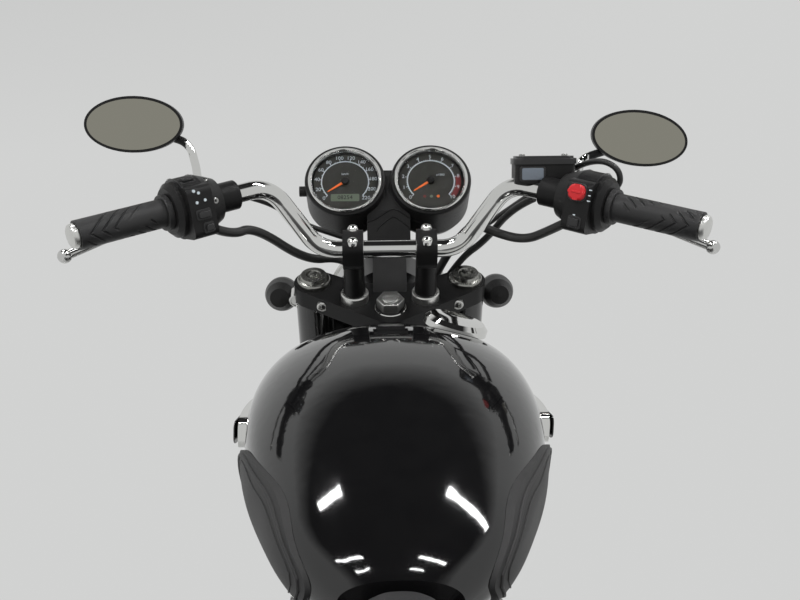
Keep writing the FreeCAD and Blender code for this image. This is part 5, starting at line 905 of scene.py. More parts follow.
        # The needle's finish glows faintly: painted glow.
        faces.slab(((-3, -2.1), (27, -0.9), (28.5, 0), (27, 0.9), (-3, 2.1)), level + 0.9, level + 1.5, way,
                   NEEDLE_PAINTED_GLOW, 0.2)
        faces.turned(((0, level), (5.2, level), (5.2, level + 2.6), (4.4, level + 3.2), (0, level + 3.3)),
                     place, PLASTIC, 32)

    def arc(self, faces: Piece, place: Matrix, sizes: tuple[float, float, float, float], finish: Finish,
            sunk: float = 0.0) -> None:
        """Adds a flat curved band to a dial.

        Args:
            faces: The piece that it joins.
            place: The dial's placement.
            sizes: Its middle radius, its width, where it starts and how far it goes clockwise, in degrees.
            finish: The finish.
            sunk: How far it lies below the other marks.
        """
        radius, width, start_deg, sweep_deg = sizes
        level = self.face_depth - sunk
        turns = [math.radians(start_deg - sweep_deg * k / self.arc_steps) for k in range(self.arc_steps + 1)]
        inner = [((radius - width / 2) * math.cos(t), (radius - width / 2) * math.sin(t)) for t in turns]
        outer = [((radius + width / 2) * math.cos(t), (radius + width / 2) * math.sin(t)) for t in turns]
        faces.slab(inner + outer[::-1], level, level + self.mark_high, place, finish)

    def tick(self, faces: Piece, place: Matrix, turn: float, long: float, wide: float) -> None:
        """Adds one scale line outside the scale's arc.

        Args:
            faces: The piece that it joins.
            place: The dial's placement.
            turn: Its direction from the middle.
            long: Its length.
            wide: Its width.
        """
        low, high, half = self.arc_r, self.arc_r + long, wide / 2
        faces.slab(((low, -half), (high, -half), (high, half), (low, half)), self.face_depth,
                   self.face_depth + self.mark_high, place @ Matrix.Rotation(turn, 4, "Z"), DIAL_MARK)


@dataclass
class BarEnds:
    """Rubber grips with their weights, and the details of the switch housings.

    Attributes:
        left_buttons: Buttons of the left pod: along and up from its middle, width, height and how proud.
        right_buttons: The same for the right pod.
        left_dots: Round marks on the left pod, along and up from its middle.
        right_dashes: Flat marks on the right pod, along and up from its middle, and their length.
    """

    end_mm: Point = (328.0, 910.11565, 1079.99509)
    inward: Point = (-0.79290486, 0.57975839, 0.18756889)
    grip_len: float = 104.0
    grip_r: float = 16.0
    flange_r: float = 20.0
    bar_r: float = 11.2
    weight_r: float = 13.4
    weight_len: float = 8.0
    groove_depth: float = 1.3
    groove_pitch: float = 13.0
    groove_slant: float = 2.2
    sleeve_rings: int = 170
    sleeve_sides: int = 120
    switch_r: float = 34.0
    switch_len: float = 58.0
    left_buttons: tuple[tuple[float, ...], ...] = ((0, -3, 14, 8, 4.6), (3, -18, 9, 8, 5.4))
    right_buttons: tuple[tuple[float, ...], ...] = ((-1, -17, 12, 10, 4.4),)
    left_dots: tuple[Flat, ...] = ((-5, 11), (5, 12), (-1, 21), (-6, 24))
    right_dashes: tuple[Point, ...] = ((-13, 21, 3.4), (-13, 15, 3.0), (-13, 9, 3.4), (0.5, -9, 3.0))

    def axis(self, side: int, along: float = 0.0) -> Matrix:
        """Returns a placement on the grip's axis, Z inward along it and Y up."""
        start = spot(*self.end_mm) + Vector(self.inward) * (along * MM)
        start.x *= side
        return facing(start, Vector((self.inward[0] * side, self.inward[1], self.inward[2])))

    def ways(self, side: int, along: float) -> tuple[Vector, Vector, Vector]:
        """Returns a point of the grip's axis, and the ways up and rearward from it."""
        axis = self.axis(side, along)
        up = axis.to_3x3() @ AHEAD
        rear = up.cross(axis.to_3x3() @ UP)
        return axis.translation, up, rear if rear.y < 0 else -rear

    def on_housing(self, side: int, along: float, turn_deg: float, radius: float) -> Matrix:
        """Returns a placement on a housing's skin, with Z out of it.

        Args:
            side: -1 left, 1 right.
            along: Distance from the bar's end.
            turn_deg: Angle round the bar, 0 at the rear and 90 on top.
            radius: Distance from the bar's middle.
        """
        middle, up, rear = self.ways(side, along)
        turn = math.radians(turn_deg)
        out = rear * math.cos(turn) + up * math.sin(turn)
        upward = up * math.cos(turn) - rear * math.sin(turn)
        return facing(middle + out * radius * MM, out, upward)

    def on_pod(self, side: int, along: float, rise: float) -> Matrix:
        """Returns a placement on the switch pod's rear face, inward along and up from its middle."""
        middle, up, rear = self.ways(side, self.grip_len + 0.3 + self.switch_len * 0.42 + along)
        return facing(middle + (rear * self.switch_r * 1.1 + up * (rise - 4)) * MM, rear, up)

    def build(self) -> None:
        """Builds the grips and the switches of both sides."""
        grips = Piece("ribbed_grips", Body.STEERING, (GRIP_RUBBER, BRUSHED))
        details = Piece("switch_details", Body.STEERING, (SWITCH_BLACK, RED_PLASTIC, DIAL_MARK, STEEL))
        for side in (-1, 1):
            self.sleeve(grips, side)
            self.end_weight(grips, side)
            self.seams(details, side)
        self.left_switches(details)
        self.right_switches(details)
        grips.settle(("grips",))
        details.settle()

    def end_weight(self, grips: Piece, side: int) -> None:
        """Adds one grip's end weight and its inner flange."""
        axis = self.axis(side)
        radius, long = self.weight_r, self.weight_len
        grips.turned(((0, 0.1), (radius - 1.6, 0.1), (radius - 1.6, -1.2), (radius, -1.2),
                      (radius, -long * 0.5), (radius - 1.0, -long * 0.78), (radius * 0.78, -long * 0.92),
                      (radius * 0.3, -long), (0, -long)), axis, BRUSHED)
        hole, rim, end = self.bar_r, self.flange_r, self.grip_len
        grips.turned(((hole, end - 7), (rim - 0.4, end - 7), (rim, end - 6.4), (rim, end - 0.6),
                      (rim - 0.6, end), (hole, end), (hole, end - 7)), axis, GRIP_RUBBER)

    def sleeve(self, grips: Piece, side: int) -> None:
        """Adds one grip's rubber with slanting grooves.

        Args:
            grips: The piece that it joins.
            side: -1 left, 1 right.
        """
        part = bmesh.new()
        rings, sides = self.sleeve_rings, self.sleeve_sides
        rows = []
        for i in range(rings + 1):
            along = 0.2 + (self.grip_len - 7.2) * i / rings
            fade = min(1.0, max(0.0, (along - 5) / 3)) * min(1.0, max(0.0, (self.grip_len - 18 - along) / 3))
            row = []
            for j in range(sides):
                turn = FULL_TURN * j / sides
                slant = abs((turn / FULL_TURN * 4) % 2 - 1) * self.groove_slant
                wave = math.cos(FULL_TURN * (along / self.groove_pitch + slant))
                patch = min(1.0, max(0.0, (math.sin(2 * turn + along * 0.075) + 0.45) * 2.0))
                cut = min(1.0, max(0.0, wave - 0.72) / 0.14)
                radius = self.grip_r - self.groove_depth * fade * cut * patch
                row.append(part.verts.new((radius * MM * math.cos(turn), radius * MM * math.sin(turn),
                                           along * MM)))
            rows.append(row)
        for here, there in zip(rows, rows[1:]):
            skirt(part, here, there)
        part.faces.new(rows[0][::-1])
        part.faces.new(rows[-1])
        grips.take(part, GRIP_RUBBER, self.axis(side))

    def seams(self, details: Piece, side: int) -> None:
        """Adds the housing's screws and the rim beside the grip.

        Args:
            details: The piece that they join.
            side: -1 left, 1 right.
        """
        middle = self.grip_len + 13 + (self.switch_len - 35) / 2
        for offset in (-11, 11):
            screw = self.on_housing(side, middle + offset, 104, self.switch_r - 0.6)
            details.turned(((0, 0), (2.7, 0), (2.7, 1.0), (2.1, 1.5), (0, 1.5)), screw, STEEL, 20)
        low, high = self.switch_r - 3, self.switch_r + 0.3
        details.turned(((low, -0.8), (high, -0.8), (high, 0.8), (low, 0.8), (low, -0.8)),
                       self.axis(side, self.grip_len + 12.4), SWITCH_BLACK, 72)

    def button(self, details: Piece, place: Matrix, width: float, height: float, proud: float) -> None:
        """Adds a rounded button, so wide along the bar, so high and so proud, on a shallow surround."""
        details.slab(rounded_outline(width + 4, height + 4, 2.6), -6, 0.9, place, SWITCH_BLACK, 0.6)
        details.slab(rounded_outline(width, height, 2.2), 0, proud, place, SWITCH_BLACK, 1.4)

    def left_switches(self, details: Piece) -> None:
        """Adds the dip, turn and horn switches with their small marks and screws."""
        for along, rise, width, height, proud in self.left_buttons:
            self.button(details, self.on_pod(-1, along, rise), width, height, proud)
        self.button(details, self.on_housing(-1, self.grip_len + 24, 66, self.switch_r - 1), 14, 9, 4)
        for along, rise in self.left_dots:
            details.slab(round_outline(1.7, 16), -1, 0.3, self.on_pod(-1, along, rise), DIAL_MARK)
        for turn in (6, 62):
            screw = self.on_housing(-1, self.grip_len + self.switch_len - 13, turn, self.switch_r - 4.5)
            details.turned(((0, -2), (3.6, -2), (3.6, 1.2), (2.8, 1.8), (1.6, 1.8), (1.4, 0.7), (0, 0.7)),
                           screw, STEEL, 20)

    def right_switches(self, details: Piece) -> None:
        """Adds the red stop button, the start button and their small marks."""
        stop = self.on_pod(1, 1.5, 16)
        details.slab(rounded_outline(23, 20, 7), -4, 1.0, stop, SWITCH_BLACK, 0.6)
        lean = stop @ Matrix.Rotation(-0.12, 4, "X")
        details.slab(rounded_outline(20, 17.5, 7.6, 8), -2, 5.0, lean, RED_PLASTIC, 2.8)
        details.slab(rounded_outline(12, 2.4, 1.1), 4.6, 5.9, lean, RED_PLASTIC, 0.6)
        for along, rise, width, height, proud in self.right_buttons:
            self.button(details, self.on_pod(1, along, rise), width, height, proud)
        for along, rise, long in self.right_dashes:
            details.slab(rounded_outline(long, 1.3, 0.5), -1, 0.3, self.on_pod(1, along, rise), DIAL_MARK)


@dataclass
class FluidBox:
    """Lid, screws and window of the brake fluid box.

    Attributes:
        window_at: The window's middle, across and up from the low corner.
    """

    low: Point = (145.8, 1015.9, 1123.9)
    size: Point = (70.0, 44.0, 28.0)
    screw_x: float = 25.0
    window_at: Flat = (19.6, 11.0)

    def build(self) -> None:
        """Builds the box's details."""
        piece = Piece("fluid_box_details", Body.STEERING, (SWITCH_BLACK, STEEL, WINDOW))
        wide, deep, high = self.size
        x, y, z = self.low
        lid = facing(spot(x + wide / 2, y + deep / 2, z + high), UP, AHEAD)
        piece.slab(rounded_outline(wide + 3, deep + 3, 10, 6), -6.0, 0.8, lid, SWITCH_BLACK, 1.2)
        piece.slab(rounded_outline(wide - 3, deep - 3, 9, 6), 0.8, 3.4, lid, SWITCH_BLACK, 1.8)
        for side in (-1, 1):
            screw = shifted(lid, side * self.screw_x, 0, 2.6)
            piece.turned(((0, 0), (3.6, 0), (3.6, 2.4), (2.9, 3.0), (0, 3.0)), screw, STEEL, 24)
        wall = facing(spot(x + self.window_at[0], y, z + self.window_at[1]), -AHEAD)
        piece.slab(rounded_outline(30, 17, 2.5), -1, 0.8, wall, SWITCH_BLACK, 0.5)
        piece.slab(rounded_outline(25, 13.5, 1.6), -1, 1.3, wall, WINDOW, 0.4)
        piece.settle()


@dataclass
class YokeTrim:
    """Nuts, bolts, boots and the key switch on the top yoke and bar clamps.

    Attributes:
        boot_rise: Heights where the boot's taper starts and ends.
        pinch_in: From a fork leg in, back and down to its pinch bolt.
        key_at: The key switch: from the bike's middle, back from the fork legs and down from the yoke.
    """

    yoke_top: float = 752.0
    bar_n: float = 20.5
    bar_s: float = 827.6
    riser_x: float = 45.0
    fork_x: float = 99.0
    fork_n: float = 58.27
    clamp_top: float = 19.5
    clamp_bolt_n: float = 14.0
    collar_high: float = 11.0
    boot_r: Flat = (14.2, 10.8)
    boot_rise: Flat = (3.0, 48.0)
    boot_steps: int = 10
    pinch_in: Point = (12.0, 37.0, 11.0)
    key_at: Point = (-123.0, 6.0, 26.0)

    def up(self, x: float, n: float, s: float) -> Matrix:
        """Returns a placement whose Z runs up the steering axis."""
        rise = steer_spot(0, 0, 1) - steer_spot(0, 0, 0)
        return facing(steer_spot(x, n, s), rise, AHEAD)

    def rearward(self, x: float, n: float, s: float) -> Matrix:
        """Returns a placement whose Z runs back from the yoke, towards the rider."""
        back = steer_spot(0, -1, 0) - steer_spot(0, 0, 0)
        return facing(steer_spot(x, n, s), back)

    def build(self) -> None:
        """Builds the trim."""
        piece = Piece("yoke_fasteners", Body.STEERING, (CHROME, SATIN_BLACK, BRUSHED, DULL_ALLOY))
        nut = self.up(0, 0, self.yoke_top)
        piece.turned(((0, 0), (20, 0), (20, 1.6), (19, 2.4), (0, 2.4)), nut, CHROME)
        piece.slab(round_outline(17.4, 6), 2.4, 15.5, nut, BRUSHED, 1.6)
        piece.turned(((0, 15), (11, 15), (10, 17.5), (6, 19.0), (0, 19.4)), nut, BRUSHED, 32)
        for side in (-1, 1):
            self.riser(piece, side)
            self.fork_cap(piece, side)
        self.key_switch(piece)
        piece.settle()

    def riser(self, piece: Piece, side: int) -> None:
        """Adds one clamp's bolts, and the collar and boot of its riser."""
        x = side * self.riser_x
        for offset in (-self.clamp_bolt_n, self.clamp_bolt_n):
            bolt = self.up(x, self.bar_n + offset, self.bar_s + self.clamp_top)
            piece.turned(((0, -2), (6.8, -2), (6.8, 1.4), (6.2, 3.4), (4.7, 5.0), (2.5, 6.0), (0, 6.3)), bolt,
                         CHROME, 32)
        collar = self.up(x, self.bar_n, self.yoke_top)
        piece.turned(((0, 0), (17.6, 0), (17.6, 9.4), (16.4, 11), (13.1, 11), (0, 11)), collar, BRUSHED)
        foot_r, top_r = self.boot_r
        low, high = self.boot_rise
        taper = [(foot_r - (foot_r - top_r) * k / self.boot_steps, low + (high - low) * k / self.boot_steps)
                 for k in range(self.boot_steps + 1)]
        boot = self.up(x, self.bar_n, self.yoke_top + self.collar_high)
        piece.turned([(0, 0), (foot_r, 0)] + taper + [(0, high)], boot, SATIN_BLACK, 40)

    def fork_cap(self, piece: Piece, side: int) -> None:
        """Adds one fork leg's cap and its pinch bolt."""
        cap = self.up(side * self.fork_x, self.fork_n, self.yoke_top)
        piece.turned(((0, 0), (21.4, 0), (21.4, 4.6), (20.2, 6.4), (17.4, 7.0), (16.4, 11.8), (9.6, 12.4),
                      (8.8, 11.2), (0, 11.2)), cap, DULL_ALLOY, 64)
        piece.slab(round_outline(6.4, 6), 11, 13.2, cap, DULL_ALLOY, 0.6)
        inward, back, down = self.pinch_in
        pinch = self.rearward(side * (self.fork_x - inward), self.fork_n - back, self.yoke_top - down)
        piece.turned(((0, -16), (7.0, -16), (7.0, 3), (6.0, 4.2), (4.2, 4.2), (3.6, 1.0), (0, 1.0)), pinch,
                     BRUSHED, 32)

    def key_switch(self, piece: Piece) -> None:
        """Adds the small barrel of the key switch beside the left fork leg."""
        x, back, down = self.key_at
        key = self.rearward(x, self.fork_n - back, self.yoke_top - down)
        piece.turned(((0, -18), (10, -18), (10, 0), (9.2, 1.2), (7.6, 1.2), (7.2, 0.4), (0, 0.4)), key,
                     CHROME, 40)
        piece.slab(rounded_outline(1.8, 7.0, 0.5), 0.2, 0.8, key, SATIN_BLACK)


@dataclass(frozen=True)
class CableRun:
    """One cable: its name, diameter, length and the corner points of its route in drawing millimetres."""

    name: str
    diameter: float
    length: float
    corners: tuple[tuple[float, float, float], ...]


CABLE_RUNS = (
    CableRun("left_wiring_loom", 0.011, 0.264, (
        (-202.8, 987.9, 1080.9), (-182.8, 1011.9, 1068.9), (-160.8, 1041.9, 1076.9),
        (-104.0, 1088.0, 1030.0), (-66.0, 1124.0, 1030.0), (-58.0, 1184.0, 1016.0),
    )),
    CableRun("clutch_cable", 0.007, 0.217, (
        (-188.8, 1045.9, 1114.9), (-150.8, 1063.9, 1108.9), (-110.0, 1096.0, 1076.0),
        (-76.0, 1132.0, 1060.0), (-44.0, 1184.0, 1044.0),
    )),
    CableRun("right_wiring_loom", 0.011, 0.257, (
        (204.8, 1013.9, 1078.9), (186.8, 1033.9, 1066.9), (162.8, 1053.9, 1054.9),
        (130.0, 1076.0, 1062.0), (96.0, 1106.0, 1078.0), (62.0, 1182.0, 996.0),
    )),
    CableRun("throttle_cable", 0.007, 0.347, (
        (234.8, 1005.9, 1102.9), (263.8, 1003.9, 1115.9), (261.8, 997.9, 1139.9),
        (239.8, 1011.9, 1151.9), (213.8, 1071.9, 1135.9), (150.0, 1104.0, 1090.0),
        (74.0, 1178.0, 1026.0),
    )),
    CableRun("brake_hose", 0.009, 0.228, (
        (172.8, 1051.9, 1104.9), (148.8, 1074.9, 1091.9), (122.0, 1112.0, 1050.0),
        (92.0, 1154.0, 1022.0), (70.0, 1206.0, 976.0),
    )),
)


@dataclass
class Cables:
    """Wiring looms, control cables and brake hose as smooth cords."""

    runs: tuple[CableRun, ...] = CABLE_RUNS

    def build(self) -> None:
        """Builds every cord."""
        for run in self.runs:
            line = bpy.data.curves.new(run.name, "CURVE")
            line.dimensions = "3D"
            spline = line.splines.new("NURBS")
            spline.points.add(len(run.corners) - 1)
            for point, corner in zip(spline.points, run.corners):
                point.co = (*spot(*corner), 1.0)
            spline.order_u = 3
            spline.use_endpoint_u = True
            spline.resolution_u = 16
            line.bevel_depth = run.diameter / 2
            line.bevel_resolution = 5
            line.use_fill_caps = True
            line.materials.append(CABLE.material())
            made = bpy.data.objects.new(run.name, line)
            bpy.context.scene.collection.objects.link(made)
            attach(made, Body.STEERING.value)
            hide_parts("control_cables")
            LOG.info("laid %s", run.name)


# Repeats by geometry nodes
def open_tree(name: str) -> tuple[bpy.types.NodeTree, bpy.types.Node, bpy.types.Node]:
    """Returns a new geometry tree with its group input and its closing Set Material node.

    Args:
        name: The tree's name.

    Returns:
        The tree, the group input and the Realize Instances node that the copies go into.
    """
    tree = bpy.data.node_groups.new(name, "GeometryNodeTree")
    for socket, kind in (("Geometry", "Geometry"), ("Count", "Int"), ("Finish", "Material")):
        add_socket(tree, socket, kind)
    add_socket(tree, "Geometry", "Geometry", "OUTPUT")
    given = add_node(tree, "NodeGroupInput")
    out = add_node(tree, "NodeGroupOutput")
    solid = add_node(tree, "GeometryNodeRealizeInstances")
    paint = add_node(tree, "GeometryNodeSetMaterial")
    wire(tree, (solid, "Geometry", paint, "Geometry"), (given, "Finish", paint, "Material"),
         (paint, "Geometry", out, "Geometry"))
    return tree, given, solid


@cache
def round_tree() -> bpy.types.NodeTree:
    """Returns the tree that repeats its geometry about the X axis."""
    tree, given, solid = open_tree("repeat_round")
    points = add_node(tree, "GeometryNodePoints")
    index = add_node(tree, "GeometryNodeInputIndex")
    share = add_node(tree, "ShaderNodeMath", operation="DIVIDE")
    turn = add_node(tree, "ShaderNodeMath", {1: FULL_TURN}, operation="MULTIPLY")
    angles = add_node(tree, "ShaderNodeCombineXYZ")
    copies = add_node(tree, "GeometryNodeInstanceOnPoints")
    wire(tree, (given, "Count", points, "Count"), (index, "Index", share, 0), (given, "Count", share, 1),
         (share, "Value", turn, 0), (turn, "Value", angles, "X"), (points, 0, copies, "Points"),
         (given, "Geometry", copies, "Instance"), (angles, "Vector", copies, "Rotation"),
         (copies, "Instances", solid, "Geometry"))
    return tree


@cache
def path_tree() -> bpy.types.NodeTree:
    """Returns the tree that repeats its geometry along a path object."""
    tree, given, solid = open_tree("repeat_along")
    add_socket(tree, "Path", "Object")
    path = add_node(tree, "GeometryNodeObjectInfo")
    points = add_node(tree, "GeometryNodeCurveToPoints", mode="COUNT")
    copies = add_node(tree, "GeometryNodeInstanceOnPoints")
    wire(tree, (given, "Path", path, "Object"), (path, "Geometry", points, "Curve"),
         (given, "Count", points, "Count"), (points, "Points", copies, "Points"),
         (points, "Rotation", copies, "Rotation"), (given, "Geometry", copies, "Instance"),
         (copies, "Instances", solid, "Geometry"))
    return tree


def repeated(base: bmesh.types.BMesh, tree: bpy.types.NodeTree,
             values: dict[str, object]) -> bmesh.types.BMesh:
    """Runs a repeat tree on one form.

    Args:
        base: The form that is repeated, which is freed.
        tree: The geometry tree.
        values: Its inputs by name.

    Returns:
        The copies as one mesh.
    """
    mesh = bpy.data.meshes.new("repeat_base")
    base.to_mesh(mesh)
    base.free()
    holder = bpy.data.objects.new("repeat_base", mesh)
    bpy.context.scene.collection.objects.link(holder)
    maker = holder.modifiers.new("repeat", "NODES")
    maker.node_group = tree
    for item in tree.interface.items_tree:
        if item.item_type == "SOCKET" and item.in_out == "INPUT" and item.name in values:
            maker[item.identifier] = values[item.name]
    bpy.context.view_layer.update()
    graph = bpy.context.evaluated_depsgraph_get()
    made = bpy.data.meshes.new_from_object(holder.evaluated_get(graph), depsgraph=graph)
    copies = bmesh.new()
    copies.from_mesh(made)
    bpy.data.objects.remove(holder)
    bpy.data.meshes.remove(made)
    return copies


def round_about(centre: Vector, axis: Vector) -> Matrix:
    """Returns a placement whose X is the axis, for copies made about X."""
    x_way = axis.normalized()
    y_way = UP.cross(x_way).normalized()
    z_way = x_way.cross(y_way)
    return Matrix.Translation(centre) @ Matrix((x_way, y_way, z_way)).transposed().to_4x4()


@dataclass
class TyreDress:
    """A tyre with its rounded casing, sidewall rings and tread blocks.

    Attributes:
        rows: The tread rows, each as (start, end, slant, share of the pitch), across from -1 to 1.
    """

    name: str
    body: Body
    half_w: float
    bead_r: float
    bead_half_w: float
    pitches: int
    rows: tuple[tuple[float, float, float, float], ...]
    tread: float = 5.0
    wall: float = 10.0
    crown_steps: int = 28
    sides: int = 160

    def crown(self, outer: float, share: float, lift: float = 0.0) -> Flat:
        """Returns (radius, across) of the crown at a share across it from -1 to 1."""
        shoulder = outer - self.half_w * 0.62
        turn = math.pi / 2 * share
        across = (self.half_w + lift * 0.6) * math.sin(turn)
        return (shoulder + (outer - shoulder + lift) * math.cos(turn), across)

    def build(self) -> None:
        """Builds the tyre."""
        low, centre, high = node_box(self.name)
        outer = (high.z - low.z) / 2 / MM
        piece = Piece(self.name + "_dressed", self.body, (TYRE_RUBBER,))
        base = outer - self.tread
        outside = [self.crown(base, -1 + 2 * k / self.crown_steps) for k in range(self.crown_steps + 1)]
        middle_r = (self.bead_r + outside[0][0]) / 2
        left = [(self.bead_r, -self.bead_half_w), (self.bead_r + 8, -self.bead_half_w - 3),
                (self.bead_r + 12, -self.bead_half_w - 6), (self.bead_r + 14, -self.bead_half_w - 7.4),
                (self.bead_r + 16, -self.bead_half_w - 6.6), (middle_r + 4, -self.half_w + 2.4),
                (middle_r + 6, -self.half_w + 1.0), (middle_r + 9, -self.half_w + 1.6)]
        right = [(radius, -across) for radius, across in reversed(left)]
        inside = [(self.bead_r, self.bead_half_w - self.wall), (base - self.wall, self.half_w * 0.5),
                  (base - self.wall, -self.half_w * 0.5), (self.bead_r, -self.bead_half_w + self.wall)]
        piece.turned(left + outside + right + inside + left[:1], facing(centre, RIGHT), TYRE_RUBBER,
                     self.sides)
        blocks = bmesh.new()
        for row in self.rows:
            self.block(blocks, outer, *row)
        bmesh.ops.recalc_face_normals(blocks, faces=blocks.faces)
        ring = repeated(blocks, round_tree(), {"Count": self.pitches, "Finish": TYRE_RUBBER.material()})
        piece.take(ring, TYRE_RUBBER, Matrix.Translation(centre), mend=False)
        piece.settle((self.name,), 28)

    def block(self, blocks: bmesh.types.BMesh, outer: float, start: float, end: float, slant: float,
              share: float) -> None:
        """Adds one tread block of the pattern.

        Args:
            blocks: The pattern's mesh, about the X axis.
            outer: The tyre's outer radius.
            start: Where it starts across the crown.
            end: Where it ends.
            slant: How far it leans round the tyre, as a share of a pitch.
            share: How much of the pitch it fills.
        """
        pitch = FULL_TURN / self.pitches
        steps = 4
        grids = []
        for lift, inset in ((-self.tread - 1.0, 0.0), (-0.7, 0.0), (0.0, 0.02)):
            grid = []
            for i in range(steps + 1):
                across = start + (end - start) * (inset + (1 - 2 * inset) * i / steps)
                radius, x = self.crown(outer, across, lift)
                lean = slant * pitch * (across - start) / (end - start)
                edge = pitch * share * (0.5 - inset)
                corners = []
                for turn in (lean - edge, lean + edge):
                    corners.append(blocks.verts.new((x * MM, radius * MM * math.sin(turn),
                                                     radius * MM * math.cos(turn))))
                grid.append(corners)
            grids.append(grid)
        for under, over in zip(grids, grids[1:]):
            skirt(blocks, [row[0] for row in under] + [row[1] for row in reversed(under)],
                  [row[0] for row in over] + [row[1] for row in reversed(over)])
        for grid in (grids[0], grids[-1]):
            for here, there in zip(grid, grid[1:]):
                blocks.faces.new((here[0], here[1], there[1], there[0]))


TREAD_MIDDLE = (-0.14, 0.14, 0.2, 0.93)
FRONT_TREAD = ((-0.93, -0.62, 0.25, 0.74), (-0.56, -0.2, -0.3, 0.8), TREAD_MIDDLE, (0.2, 0.56, 0.3, 0.8),
               (0.62, 0.93, -0.25, 0.74))
REAR_TREAD = ((-0.93, -0.6, 0.25, 0.74), (-0.54, -0.2, -0.3, 0.8), TREAD_MIDDLE, (0.2, 0.54, 0.3, 0.8),
              (0.6, 0.93, -0.25, 0.74))
TYRES = (TyreDress("front_tyre", Body.FRONT_WHEEL, 50.0, 245.3, 32.0, 60, FRONT_TREAD),
         TyreDress("rear_tyre", Body.REAR_WHEEL, 65.0, 221.3, 42.0, 56, REAR_TREAD))


@dataclass
class RollerChain:
    """The drive chain as separate links on the loop of the CAD chain.

    Attributes:
        bend_steps: How many points of the loop lie round each sprocket, the rear and the front.
        outer_plate: Where an outer plate starts and ends across, from the chain's middle.
        inner_plate: Where an inner plate starts and ends.
    """

    x: float = -88.0
    pitch: float = 15.875
    rear: Flat = (0.0, 340.0)
    front: Flat = (660.0, 372.0)
    rear_teeth: int = 43
    front_teeth: int = 17
    bend_steps: tuple[int, int] = (48, 24)
    plate_h: float = 13.4
    outer_plate: Flat = (6.1, 7.9)
    inner_plate: Flat = (4.1, 5.9)
    roller_r: float = 5.0
    roller_half_w: float = 4.2
    pin_r: float = 2.4
    pin_half_w: float = 8.0
    drum_sides: int = 10

    def loop(self) -> list[Vector]:
        """Returns points along the loop, which goes round both sprockets."""
        rear_r = self.pitch / (2 * math.sin(math.pi / self.rear_teeth))
        front_r = self.pitch / (2 * math.sin(math.pi / self.front_teeth))
        rear, front = Vector(self.rear), Vector(self.front)
        along = (front - rear).normalized()
        lean = math.asin((rear_r - front_r) / (front - rear).length)
        base = math.atan2(along.y, along.x)
        rear_steps, front_steps = self.bend_steps
        bends = ((front, front_r, base + math.pi / 2 - lean, math.pi - 2 * lean, front_steps),
                 (rear, rear_r, base - math.pi / 2 + lean, math.pi + 2 * lean, rear_steps))
        points = []
        for middle, radius, start, sweep, steps in bends:
            for k in range(steps + 1):
                turn = start - sweep * k / steps
                points.append(middle + Vector((math.cos(turn), math.sin(turn))) * radius)
        return [spot(self.x, point.x, point.y) for point in points]

    def plate(self, part: bmesh.types.BMesh, x_low: float, x_high: float, middle: float) -> None:
        """Adds one side plate with rounded ends, along Z."""
        outline = []
        radius, waist = self.plate_h / 2, self.plate_h / 2 * 0.76
        for end in (1, -1):
            for k in range(7):
                turn = math.pi * k / 6
                rise = self.pitch / 2 + radius * math.sin(turn) * 0.62
                outline.append((end * radius * math.cos(turn), middle + end * rise))
            outline.append((-end * waist, middle))
        low = [part.verts.new((x_low * MM, y * MM, z * MM)) for y, z in outline]
        high = [part.verts.new((x_high * MM, y * MM, z * MM)) for y, z in outline]
        part.faces.new(low)
        part.faces.new(high[::-1])
        skirt(part, high, low)

    def path(self) -> tuple[bpy.types.Object, int]:
        """Returns the loop as a path object, and how many pairs of links go round it."""
        points = self.loop()
        length = sum((b - a).length for a, b in zip(points, points[1:] + points[:1]))
        line = bpy.data.curves.new("chain_path", "CURVE")
        line.dimensions = "3D"
        line.twist_mode = "Z_UP"
        spline = line.splines.new("POLY")
        spline.points.add(len(points) - 1)
        for point, place in zip(spline.points, points):
            point.co = (*place, 1.0)
        spline.use_cyclic_u = True
        path = bpy.data.objects.new("chain_path", line)
        bpy.context.scene.collection.objects.link(path)
        return path, round(length / MM / self.pitch / 2)

    def build(self) -> None:
        """Builds the links."""
        path, pairs = self.path()
        link = bmesh.new()
        half = self.pitch / 2
        for side in (-1, 1):
            for plate, middle in ((self.outer_plate, -half), (self.inner_plate, half)):
                low, high = sorted(side * value for value in plate)
                self.plate(link, low, high, middle)
        for radius, half_w, middle in ((self.roller_r, self.roller_half_w, 0.0),
                                       (self.roller_r, self.roller_half_w, self.pitch),
                                       (self.pin_r, self.pin_half_w, 0.0),
                                       (self.pin_r, self.pin_half_w, -self.pitch)):
            add_stud(link, radius, radius, 2 * half_w, self.drum_sides, (0, 0, middle))
        bmesh.ops.recalc_face_normals(link, faces=link.faces)
        copies = repeated(link, path_tree(), {"Count": pairs, "Finish": CHAIN_STEEL.material(), "Path": path})
        bpy.data.objects.remove(path)
        piece = Piece("chain_links", Body.ROOT, (CHAIN_STEEL,))
        piece.take(copies, CHAIN_STEEL, mend=False)
        piece.settle(("chain",), 30)


